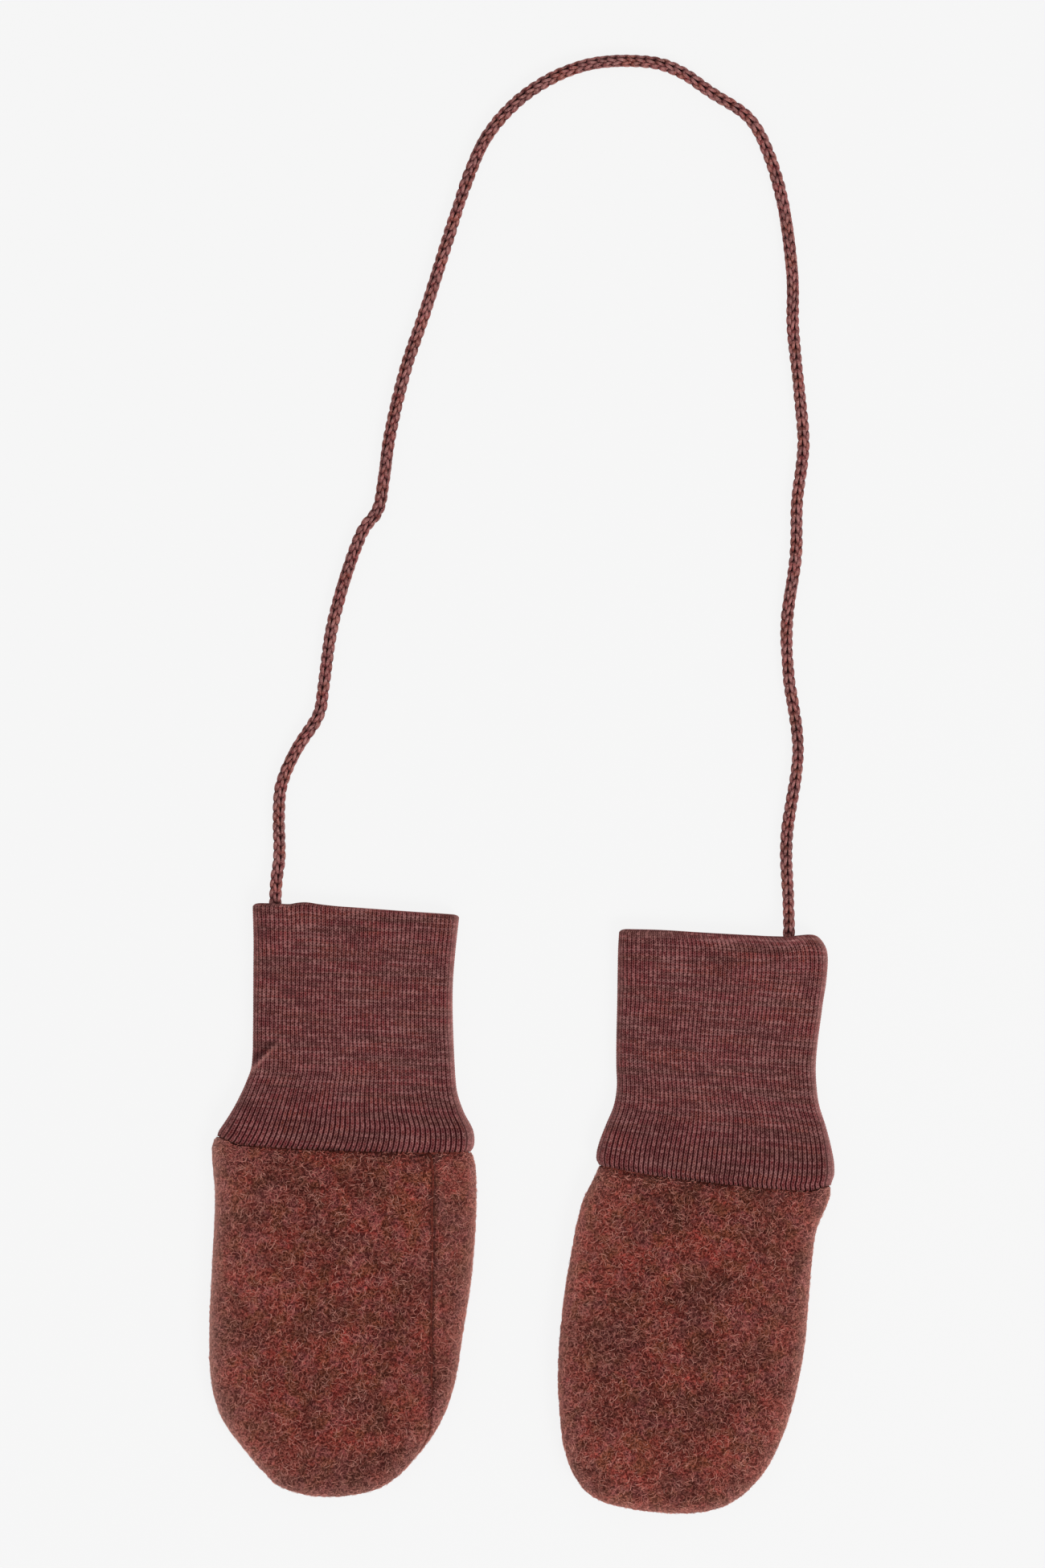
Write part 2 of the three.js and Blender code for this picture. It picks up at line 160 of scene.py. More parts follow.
# The cord's route over the surface, the same points as the part's, from the left cuff to the right
# one, and its heights at its first points, which its last points have in reverse
CORD_ROUTE = [
    (-73.9, 82.6), (-73.7, 90.6), (-73.4, 97.6), (-72.5, 105), (-72.7, 116.5), (-71.9, 126), (-67.6, 136.2),
    (-61, 146.6), (-59.4, 155), (-57.2, 171), (-53.4, 186), (-48, 201), (-43.2, 208), (-41.4, 217),
    (-39.5, 230.6), (-35, 249.6), (-28.6, 268.6), (-16.1, 307.4), (-8, 323), (4.6, 334.4), (20, 340.9),
    (36.4, 341.7), (46.6, 338.9), (56.4, 332.4), (67.4, 325), (73.4, 314.2), (77.9, 298.2), (80.5, 278),
    (80.7, 262), (82.6, 243), (83.8, 227), (81.9, 210.4), (81.5, 194), (78.9, 175), (79.4, 158.6),
    (82.2, 136), (78.8, 110.4), (79.3, 91), (79.4, 82), (78.5, 73.8),
]
CORD_DESCENT = [CORD_AT_MOUTH, CORD_AT_MOUTH, CORD_LEAVING, CORD_LANDING]

# The photograph's frame: millimetres a pixel, its height in pixels, and the point of the surface
# at its middle; then how high the camera is, and its sensor
PHOTO_MM = 0.24
PHOTO_HEIGHT = 1950
VIEW_CENTRE = (0.0, 126.24)
CAMERA_HEIGHT = 2600.0
SENSOR = 36.0


# Small curve and noise helpers

def smooth(t):
    """0 to 1 with level ends: 3t squared less 2t cubed, clipped."""
    t = np.clip(t, 0.0, 1.0)
    return t * t * (3 - 2 * t)


def unit(v):
    """Vectors divided by their lengths."""
    return v / np.maximum(np.linalg.norm(v, axis=-1, keepdims=True), 1e-9)


def through(points, power, steps):
    """A Catmull-Rom line through the points: knots stand a distance to the power apart (0.5 is
    centripetal, 0 uniform), and each span is the Barry and Goldman blend of its four points."""
    p = np.asarray(points, float)
    p = np.vstack([2 * p[0] - p[1], p, 2 * p[-1] - p[-2]])
    gaps = np.maximum(np.linalg.norm(np.diff(p, axis=0), axis=1), 1e-6) ** power
    t = np.concatenate([[0.0], np.cumsum(gaps)])
    p0, p1, p2, p3 = (p[k : len(p) - 3 + k, None, :] for k in range(4))
    t0, t1, t2, t3 = (t[k : len(t) - 3 + k, None, None] for k in range(4))
    u = t1 + (t2 - t1) * np.linspace(0, 1, steps, endpoint=False)[None, :, None]
    a1 = ((t1 - u) * p0 + (u - t0) * p1) / (t1 - t0)
    a2 = ((t2 - u) * p1 + (u - t1) * p2) / (t2 - t1)
    a3 = ((t3 - u) * p2 + (u - t2) * p3) / (t3 - t2)
    b1 = ((t2 - u) * a1 + (u - t0) * a2) / (t2 - t0)
    b2 = ((t3 - u) * a2 + (u - t1) * a3) / (t3 - t1)
    line = ((t2 - u) * b1 + (u - t1) * b2) / (t2 - t1)
    return np.vstack([line.reshape(-1, p.shape[1]), p[-2]])


def along(line, at):
    """Points of a line at shares of its length."""
    length = np.concatenate([[0.0], np.cumsum(np.linalg.norm(np.diff(line, axis=0), axis=1))])
    return np.stack([np.interp(at * length[-1], length, line[:, k]) for k in range(line.shape[1])], -1)


def soft_table(table, column, at):
    """A column of a table over its first column, eased with Hermite spans whose slopes are the
    mean of their neighbours'."""
    rows = np.asarray(table, float)
    x = rows[:, 0]
    y = rows[:, column]
    slope = np.gradient(y, x)
    k = np.clip(np.searchsorted(x, at, side="right") - 1, 0, len(x) - 2)
    width = x[k + 1] - x[k]
    t = np.clip((at - x[k]) / width, 0.0, 1.0)
    return (
        y[k] * (2 * t**3 - 3 * t**2 + 1)
        + y[k + 1] * (3 * t**2 - 2 * t**3)
        + width * slope[k] * (t**3 - 2 * t**2 + t)
        + width * slope[k + 1] * (t**3 - t**2)
    )


LATTICE_CELLS = 32
LATTICE = np.random.default_rng(SEED).uniform(-1, 1, (LATTICE_CELLS,) * 3)


def lumps(points, amount, size, offset=0.0):
    """Soft noise up to plus or minus the amount: random values on a cubic lattice of that cell
    size, eased between."""
    q = np.asarray(points) / size + offset
    cell = np.floor(q).astype(int)
    t = smooth(q - cell)
    total = 0.0
    for corner in range(8):
        step = np.array([corner & 1, corner >> 1 & 1, corner >> 2])
        weight = np.prod(np.where(step, t, 1 - t), axis=-1)
        at = (cell + step) % LATTICE_CELLS
        total = total + weight * LATTICE[at[..., 0], at[..., 1], at[..., 2]]
    return amount * total


# Meshes

def piece(name, points, faces, uv, material):
    """A mesh piece from points in mm, a list of arrays of faces, each with equal corners, and a UV
    for each point; it rides on the part."""
    mesh = bpy.data.meshes.new(name)
    mesh.vertices.add(len(points))
    mesh.vertices.foreach_set("co", (np.asarray(points, float) * MM).ravel())
    corners = np.concatenate([g.ravel() for g in faces])
    sizes = np.concatenate([np.full(len(g), g.shape[1]) for g in faces])
    mesh.loops.add(len(corners))
    mesh.loops.foreach_set("vertex_index", corners)
    mesh.polygons.add(len(sizes))
    mesh.polygons.foreach_set("loop_start", np.concatenate([[0], np.cumsum(sizes)[:-1]]))
    layer = mesh.uv_layers.new(name="cloth")
    layer.data.foreach_set("uv", np.asarray(uv, float)[corners].ravel())
    mesh.update(calc_edges=True)
    mesh.validate()
    mesh.shade_smooth()
    mesh.materials.append(material)
    obj = bpy.data.objects.new(name, mesh)
    bpy.context.scene.collection.objects.link(obj)
    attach(obj, "root")
    return obj


def welded(points, faces):
    """Merges points that lie on each other. Gives the points that stay, the faces by their new
    numbers, and which of the old points stay."""
    keys = np.round(points, 4)
    _, first, place = np.unique(keys, axis=0, return_index=True, return_inverse=True)
    return points[first], [place.ravel()[f] for f in faces], first


def strips(rows, columns, closed):
    """Quads between neighbouring rows of a grid whose points are numbered row by row; a closed one
    also joins its last column to its first."""
    r, c = np.meshgrid(np.arange(rows - 1), np.arange(columns if closed else columns - 1), indexing="ij")
    n = (c + 1) % columns
    return np.stack([r * columns + c, r * columns + n, (r + 1) * columns + n, (r + 1) * columns + c], -1)


def rings(side, over, sides, first=0.0):
    """Circles of unit radius, each in the plane of two directions, from the angle first on."""
    angle = 2 * math.pi * np.arange(sides) / sides + first
    return side[..., None, :] * np.cos(angle)[:, None] + over[..., None, :] * np.sin(angle)[:, None]


def tube_faces(count, sides):
    """The quads between that many rings, and a cap at each end."""
    caps = np.stack([np.arange(sides)[::-1], (count - 1) * sides + np.arange(sides)])
    return [strips(count, sides, True).reshape(-1, 4), caps]


def settle(mitten, x, y, z):
    """Bends the straight cuff seam into its sagging line, which rises at one corner, sinks the
    groove along it, and turns and moves the mitten to its place in the pair."""
    across = np.minimum(1, np.abs(x) / HALF_SEAM)
    near = np.maximum(0, 1 - np.abs(y) / SAG_FADE)
    corner_x, rise = mitten["corner"]
    short = (corner_x - x) * np.sign(corner_x)
    sagging = rise * smooth(1 - short / CORNER_REACH) - mitten["sag"] * (1 - across**SAG_POWER)
    low = y + sagging * near**2
    up = z * (1 - GROOVE_SHARE * np.exp(-((y / GROOVE_WIDTH) ** 2)))
    a = math.radians(mitten["turn"])
    cx, cy = mitten["centre"]
    east = cx + x * math.cos(a) - low * math.sin(a)
    north = cy + x * math.sin(a) + low * math.cos(a)
    return np.stack([east, north, up], -1)


# Hand panels

PANEL_RAYS = 116
OUTER_COLUMNS = 66
INNER_COLUMNS = 9
SEAM_DIP = 0.6
SEAM_DIP_WIDTH = 1.6
SEAM_SHADE = 1.0
EDGE_DROP = 1.2
EDGE_DROP_WIDTH = 1.5
EDGE_DROP_FADE = 26.0
EDGE_DROP_LEAST = 0.25
# The painted highlight along the outline: its near and far fades in mm, the far fade's share, and the x
# places where its side strengths apply; then the palm strip's lighter tone.
RIM_SHEEN_NEAR = 1.45
RIM_SHEEN_FAR = 8.0
RIM_SHEEN_FAR_SHARE = 0.22
SHEEN_SIDES_AT = (-30, -10, 10, 30)
STRIP_PALER = 0.16
CUFF_SHADE = 0.7
CURLS_ABOVE = 0.8
CURLS_LEFT_OUT_AT_SEAM = 0.8

# The felt's lumps: how far in mm, their size in mm, and for the fine ones their place in the
# lattice; then the heights over the surface between which they grow, and how they fade at the rim
FELT_COARSE = (0.12, 7.0)
FELT_FINE = (0.14, 1.9, 7.3)
FELT_FROM = 0.3
FELT_FULL = 1.8
FELT_AT_RIM = 0.3
FELT_RIM = 3.0


def hand_point(reach, walk, depth):
    """The laid hand's section at a walk from the edge's middle, positive over the top: a half
    ellipse round the edge, then level cloth that crowns towards the spine; depth is inwards."""
    half = EDGE_HEIGHT / 2
    quarter = math.pi / 4 * (EDGE_RADIUS + half)
    angle = np.clip(walk / quarter, -1, 1) * math.pi / 2
    inwards = EDGE_RADIUS * (1 - np.cos(angle)) + np.maximum(0, np.abs(walk) - quarter)
    share = (inwards - EDGE_RADIUS) / (reach - EDGE_RADIUS)
    up = half * (1 + np.sin(angle)) + np.where(walk > 0, CROWN * smooth(share), 0)
    return inwards + depth * np.cos(angle), up - depth * np.sin(angle)


def hand_grid(mitten, on_top, columns, depth, dipped):
    """A panel's points: rays run from the outline to the spine, down the left side, round the tip
    and up the right, and each ray follows the section from the seam to the spine."""
    side = 1 if on_top else -1
    hand = np.array(mitten["hand"], float)
    tip = np.array(mitten["tip"], float)
    left = np.stack([hand[:, 1], -hand[:, 0]], -1)
    right = np.stack([hand[::-1, 2], -hand[::-1, 0]], -1)
    low = np.stack([tip[:, 0], -tip[:, 1]], -1)
    line = through(np.vstack([left, low, right]), 0.5, 24)
    line[:, 1] -= SEAM_GAP / 2
    rays = 2 * PANEL_RAYS + 1
    edge = along(line, np.linspace(0, 1, rays))
    share = np.minimum(np.arange(rays), np.arange(rays)[::-1]) / PANEL_RAYS
    spine = np.stack(
        [(edge[:, 0] + edge[::-1, 0]) / 2, -SEAM_GAP / 2 - FAN_DEPTH * (1 - (1 - share) ** FAN_POWER)], -1
    )
    reach = np.linalg.norm(spine - edge, axis=1)[:, None]
    inwards = unit(spine - edge)
    seams = np.array(mitten["seams"], float)
    inset = np.interp(-edge[:, 1], seams[:, 0], seams[:, 1])
    seam = (inset * np.where(np.arange(rays) < PANEL_RAYS, -1, 1))[:, None]
    quarter = math.pi / 4 * (EDGE_RADIUS + EDGE_HEIGHT / 2)
    end = side * (quarter + reach - EDGE_RADIUS)
    start = seam + side * SEAM_GAP / 2
    walk = start + (end - start) * np.linspace(0, 1, columns)
    from_seam = np.abs(walk - seam)
    dip = SEAM_DIP * np.exp(-((from_seam / SEAM_DIP_WIDTH) ** 2)) if dipped else 0.0
    d, z = hand_point(reach, walk, depth + dip)
    xy = edge[:, None, :] + inwards[:, None, :] * d[..., None]
    return xy[..., 0], xy[..., 1], z, walk, from_seam, np.maximum(d, 0)


def felt(points, outward, inwards):
    """Moves cloth points out and in by the soft lumps of felted wool, less near the surface below
    and at the outline."""
    clear = smooth((points[..., 2] - FELT_FROM) / (FELT_FULL - FELT_FROM))
    clear = clear * (FELT_AT_RIM + (1 - FELT_AT_RIM) * smooth(inwards / FELT_RIM))
    rise = lumps(points, *FELT_COARSE) + lumps(points, *FELT_FINE)
    return points + outward * (rise * clear)[..., None]


def grid_normals(points):
    """Unit normals of a grid by the cross product of its two directions."""
    return unit(np.cross(np.gradient(points, axis=0), np.gradient(points, axis=1)))


def hand_panel(mitten, node, on_top, material):
    """One fleece panel, a closed wall: its felted outside, its plain inside, and rims between.
    Gives the piece, and its cloth for the curls: points, normals, how strong the painted highlight
    towards the outline is, and where curls may stand."""
    x, y, z, walk, from_seam, inwards = hand_grid(mitten, on_top, OUTER_COLUMNS, 0.0, True)
    over = smooth((z - EDGE_HEIGHT / 2) / (EDGE_HEIGHT / 2))
    from_corner = smooth(np.abs(x - mitten["corner"][0]) / EDGE_DROP_FADE)
    firm = EDGE_DROP_LEAST + (1 - EDGE_DROP_LEAST) * from_corner
    at_cuff = firm * np.exp(-(((y + SEAM_GAP / 2) / EDGE_DROP_WIDTH) ** 2))
    z = z - EDGE_DROP * over * at_cuff
    outer = settle(mitten, x, y, z)
    outward = grid_normals(outer)
    inner = settle(mitten, *hand_grid(mitten, on_top, INNER_COLUMNS, FLEECE_WALL, False)[:3])[:, ::-1]
    if np.mean(outward[..., 2] * (1 if on_top else -1)) < 0:
        outward = -outward
    outer = felt(outer, outward, inwards)
    outer[:, -1] = (outer[:, -1] + outer[::-1, -1]) / 2
    # Painted highlight along the outline: the colour grows lighter towards it over a near and a far fade,
    # stronger or weaker at the left and the right.
    rim_sheen_and_strip_tone = (1 - RIM_SHEEN_FAR_SHARE) * np.exp(-inwards / RIM_SHEEN_NEAR) + RIM_SHEEN_FAR_SHARE * np.exp(-inwards / RIM_SHEEN_FAR)
    sheen_left, sheen_right = mitten["sheen_sides"]
    rim_sheen_and_strip_tone = rim_sheen_and_strip_tone * np.interp(x, SHEEN_SIDES_AT, [sheen_left, 1, 1, sheen_right])
    # Painted shade along the long seam, where fewer curls stand, and along the cuff seam.
    shade = np.exp(-((from_seam / SEAM_SHADE) ** 2))
    keep = (outer[..., 2] > CURLS_ABOVE) * (1 - CURLS_LEFT_OUT_AT_SEAM * shade)
    shade = np.maximum(shade, CUFF_SHADE * at_cuff)
    # On the palm, the strip that shows over the top is given a lighter tone in the same number.
    if not on_top:
        rim_sheen_and_strip_tone = np.maximum(rim_sheen_and_strip_tone, STRIP_PALER * (walk > 0))
    wall = np.concatenate([outer, inner], axis=1)
    rays, count = wall.shape[:2]
    quads = strips(rays, count, True)
    quads = np.delete(quads, OUTER_COLUMNS - 1, axis=1).reshape(-1, 4)
    first_cap = np.arange(count)[None, :]
    last_cap = (rays - 1) * count + np.arange(count)[None, ::-1]
    points, faces, first = welded(wall.reshape(-1, 3), [quads, first_cap, last_cap])
    bare = np.zeros((rays, INNER_COLUMNS))
    uv = np.stack([np.hstack([shade, bare]), np.hstack([rim_sheen_and_strip_tone, bare])], -1).reshape(-1, 2)
    obj = piece(f"{node}_fleece", points, faces, uv[first], material)
    face_outwards(obj)
    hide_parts(node)
    return obj, (outer, outward, rim_sheen_and_strip_tone, keep)


def face_outwards(obj):
    """Turns every face of a closed piece over where its volume comes out negative."""
    mesh = obj.data
    mesh.calc_loop_triangles()
    corners = np.empty(len(mesh.loop_triangles) * 3, int)
    mesh.loop_triangles.foreach_get("vertices", corners)
    at = np.empty(len(mesh.vertices) * 3)
    mesh.vertices.foreach_get("co", at)
    a, b, c = at.reshape(-1, 3)[corners.reshape(-1, 3)].transpose(1, 0, 2)
    if np.einsum("ij,ij->", a, np.cross(b, c)) < 0:
        mesh.flip_normals()


# Seam threads

THREAD_RADIUS = 0.55
THREAD_DEPTH = 1.05
THREAD_SIDES = 8
THREAD_SWELL = 0.12
RING_BEND_STEPS = 12
RING_RUN_STEPS = 70


def thread(path, across, closed):
    """A round thread along a path; across is a direction that the path never takes. Its radius
    swells and shrinks a little, stitch by stitch. Gives points and faces."""
    if closed:
        ahead = unit(np.roll(path, -1, axis=0) - np.roll(path, 1, axis=0))
    else:
        ahead = unit(np.gradient(path, axis=0))
    side = unit(np.cross(ahead, across))
    wide = THREAD_RADIUS * (1 + THREAD_SWELL * np.sin(np.arange(len(path)) * 1.9))[:, None, None]
    points = (path[:, None] + rings(side, np.cross(ahead, side), THREAD_SIDES) * wide).reshape(-1, 3)
    if closed:
        return points, [strips(len(path) + 1, THREAD_SIDES, True).reshape(-1, 4) % len(points)]
    return points, tube_faces(len(path), THREAD_SIDES)


def seam_threads(mitten, material):
    """The sewing in the grooves, a dark thread that is partly the seam and partly a stand-in for the
    grooves' shade: one thread round the cuff seam, and one down the long seam at one side, round the
    tip, and up the other side."""
    _, left, right, height = mitten["cuff"][0]
    half = height / 2
    turn = math.pi * (np.linspace(0, 1, RING_BEND_STEPS, endpoint=False) - 0.5)
    radius = half - THREAD_DEPTH
    run = np.linspace(0, 1, RING_RUN_STEPS, endpoint=False)
    low_x, high_x = left + half, right - half
    x = np.concatenate([low_x - radius * np.cos(turn), low_x + (high_x - low_x) * run])
    x = np.concatenate([x, high_x + radius * np.cos(turn), high_x + (low_x - high_x) * run])
    z = np.concatenate([half + radius * np.sin(turn), run * 0 + half + radius])
    z = np.concatenate([z, half - radius * np.sin(turn), run * 0 + half - radius])
    ring = settle(mitten, x, x * 0, z)
    a = math.radians(mitten["turn"])
    points, faces = thread(ring, np.array([-math.sin(a), math.cos(a), 0.0]), True)
    x, y, z = hand_grid(mitten, True, 3, THREAD_DEPTH, False)[:3]
    long_seam = settle(mitten, x[:, 0], y[:, 0], z[:, 0])
    more, more_faces = thread(long_seam, np.array([0.0, 0.0, 1.0]), False)
    faces = faces + [f + len(points) for f in more_faces]
    points = np.concatenate([points, more])
    uv = np.zeros((len(points), 2))
    face_outwards(piece(f"{mitten['name']}_seam_thread_and_shade", points, faces, uv, material))


# Wool fibres

FIBRE_NODES = 4
FIBRE_LENGTH = (0.9, 2.2)
FIBRE_RADIUS = (0.06, 0.115)
FIBRE_LIFT = (0.05, 0.5)
FIBRE_SUNK = 0.05
FIBRE_BEND = (1.0, 3.4)
LONG_FROM = 0.78
LONG_MORE = 0.8
RIM_CALMER = 0.4
NEVER_OUTWARD = (0.31, 0.95, 0.05)


def curls(name, cloth, count, material, seed):
    """Joined curls of wool on a panel's cloth. Spots are drawn by area where its last grid allows;
    each curl is an arc of its own radius in the cloth's plane, rising and falling once, as a
    three-sided tube that comes to a point at both ends. Those whose own number is over LONG_FROM
    are longer, and those near the outline lie lower and are thinner."""
    outer, outward, rim_sheen_and_strip_tone, keep = cloth
    rng = np.random.default_rng(seed)
    p00, p10, p01 = outer[:-1, :-1], outer[1:, :-1], outer[:-1, 1:]
    area = np.linalg.norm(np.cross(p10 - p00, p01 - p00), axis=-1) * keep[:-1, :-1]
    spot = rng.choice(area.size, count, p=(area / area.sum()).ravel())
    r, c = np.unravel_index(spot, area.shape)
    fr, fc = rng.random((2, count, 1))
    base = p00[r, c] + fr * (p10 - p00)[r, c] + fc * (p01 - p00)[r, c]
    out = outward[r, c]
    heading = rng.uniform(0, 2 * math.pi, (count, 1))
    e1 = unit(np.cross(out, np.array(NEVER_OUTWARD)))
    e2 = np.cross(out, e1)
    t = np.linspace(0, 1, FIBRE_NODES)[None, :]
    own = rng.random((count, 1))
    size = rng.uniform(*FIBRE_LENGTH, (count, 1)) * (1 + LONG_MORE * (own > LONG_FROM))
    bend = rng.uniform(*FIBRE_BEND, (count, 1)) * rng.choice([-1, 1], (count, 1))
    turn = heading + bend * (t - 0.5)
    step = size / (FIBRE_NODES - 1)
    flat_x = np.cumsum(np.cos(turn) * step, axis=1)
    flat_y = np.cumsum(np.sin(turn) * step, axis=1)
    flat_x = flat_x - flat_x.mean(1, keepdims=True)
    flat_y = flat_y - flat_y.mean(1, keepdims=True)
    calm = (1 - RIM_CALMER * rim_sheen_and_strip_tone[r, c])[:, None]
    tall = rng.uniform(*FIBRE_LIFT, (count, 1)) * np.sin(math.pi * t) * calm - FIBRE_SUNK
    line = (
        base[:, None]
        + e1[:, None] * flat_x[..., None]
        + e2[:, None] * flat_y[..., None]
        + out[:, None] * tall[..., None]
    )
    line[..., 2] = np.maximum(line[..., 2], FIBRE_RADIUS[1])
    uv = np.stack([own[:, 0], rim_sheen_and_strip_tone[r, c]], -1)
    radius = rng.uniform(*FIBRE_RADIUS, (count, 1)) * calm
    return tubes(name, line, radius, out, 3, material, uv[:, None])


def tubes(name, line, radius, up, sides, material, uv, shape=None, shade_core=None):
    """Joined thin tubes with pointed ends along an array of lines. Each has its radius, times its
    shape at each node where one is given, and a UV for the tube or for each of its nodes. core adds
    another shape's points, faces and UVs."""
    count, nodes = line.shape[:2]
    ahead = unit(np.gradient(line, axis=1))
    side = unit(np.cross(ahead, np.broadcast_to(up[:, None], ahead.shape)))
    ring = rings(side[:, 1:-1], np.cross(side, ahead)[:, 1:-1], sides, math.pi / 2)
    wide = radius if shape is None else radius * shape[None, 1:-1]
    body = line[:, 1:-1, None] + ring * np.broadcast_to(wide, (count, nodes - 2))[..., None, None]
    points = np.concatenate([line[:, :1], body.reshape(count, -1, 3), line[:, -1:]], axis=1)
    each = points.shape[1]
    k = np.arange(sides)
    n = (k + 1) % sides
    quads = []
    for ring_at in range(nodes - 3):
        low = 1 + ring_at * sides
        quads.append(np.stack([low + k, low + n, low + sides + n, low + sides + k], -1))
    top = 1 + (nodes - 3) * sides
    start = np.stack([np.zeros_like(k), 1 + n, 1 + k], -1)
    end = np.stack([top + k, top + n, np.full_like(k, each - 1)], -1)
    offset = (np.arange(count) * each)[:, None, None]
    faces = [
        (np.concatenate(quads)[None] + offset).reshape(-1, 4),
        (np.concatenate([start, end])[None] + offset).reshape(-1, 3),
    ]
    uv = np.broadcast_to(uv, (count, nodes, 2))
    uv = np.concatenate([uv[:, :1], np.repeat(uv[:, 1:-1], sides, axis=1), uv[:, -1:]], axis=1)
    uv = uv.reshape(-1, 2)
    points = points.reshape(-1, 3)
    if shade_core is not None:
        faces += [f + len(points) for f in shade_core[1]]
        points = np.concatenate([points, shade_core[0]])
        uv = np.concatenate([uv, shade_core[2]])
    obj = piece(name, points, faces, uv, material)
    face_outwards(obj)
    return obj


# Cuffs

COURSE = 0.79
ROWS_A_COURSE = 2
PLAIN_RELIEF = -np.array([[0.44, 0.1, 0.12, 0.1], [0.2, 0.02, 0.18, 0.02]])
RIBBED_RELIEF = -np.array([[0.62, 0.12, 0.22, 0.12], [0.52, 0.04, 0.2, 0.04]])
UNDER_WALES = 58
LIP_ROWS = 7
INSIDE_ROWS = 14
FINGER_END = 0.7
FINGER_HEIGHT = 1.8
CORNER_HEIGHT = 2.4
CORNER_ROWS = 9
ROUND_SHARE = 0.97
RIBBED_HEIGHT = 20.0
MOUTH_FADE = 14.0
LIP_COURSE_MM = 0.4
WALE_MIDDLE = EDGE_RIBS + TOP_RIBS / 2

# Soft noise in the knit: how far in mm, the size of its lumps in mm, and its place in the lattice
SWAY_BY_HEIGHT = (0.22, 9.0, 3.1)
SWAY_BY_PLACE = (0.12, 6.0, 11.7)
SWELL = (0.16, 11.0, 5.2)

# Creases: how far the ridge swells in widths, the drop behind it in mm, how deep its valley is as a
# share of the height, where it starts and ends along the line, and where its light and dark lie
CREASE_SWELL = 1.3
CREASE_DROP = 1.1
CREASE_VALLEY = 0.5
CREASE_START = -0.35
CREASE_START_FADE = 0.25
CREASE_END = 1.2
CREASE_END_FADE = 1.1
VALLEY_EDGE = 0.5
VALLEY_FADE = 2.6
RIDGE_WIDTH = 0.55
FULL_CREASE = 1.8


def in_plane(x, y, soft):
    """Soft noise at places of a cuff's plane, by its distance, size and place in the lattice."""
    return lumps(np.stack([x, y, x * 0], -1), *soft)


def crease_share(crease, x, y):
    """A fold along a crease's line: it swells over a width on the near side to 1, drops steeply on
    the far side to a narrow valley, and fades towards its far end. Gives its height, and its shade:
    light on the ridge and dark in the valley."""
    x0, y0, x1, y1, _, width = crease
    length = math.hypot(x1 - x0, y1 - y0)
    t = ((x - x0) * (x1 - x0) + (y - y0) * (y1 - y0)) / length**2
    across = ((y - y0) * (x1 - x0) - (x - x0) * (y1 - y0)) / length
    swell = smooth(1 + across / (CREASE_SWELL * width)) * (across <= 0)
    fall = (1 + CREASE_VALLEY) * smooth(1 - across / CREASE_DROP)
    drop = (fall - CREASE_VALLEY * smooth(1 - (across - CREASE_DROP) / width)) * (across > 0)
    ends = smooth((t - CREASE_START) / CREASE_START_FADE) * smooth((CREASE_END - t) / CREASE_END_FADE)
    lit = np.exp(-(((across + VALLEY_EDGE) / RIDGE_WIDTH) ** 2))
    dark = smooth(across / VALLEY_EDGE) * np.exp(-np.maximum(across - VALLEY_EDGE, 0) / VALLEY_FADE)
    return (swell + drop) * ends, (lit - dark) * ends


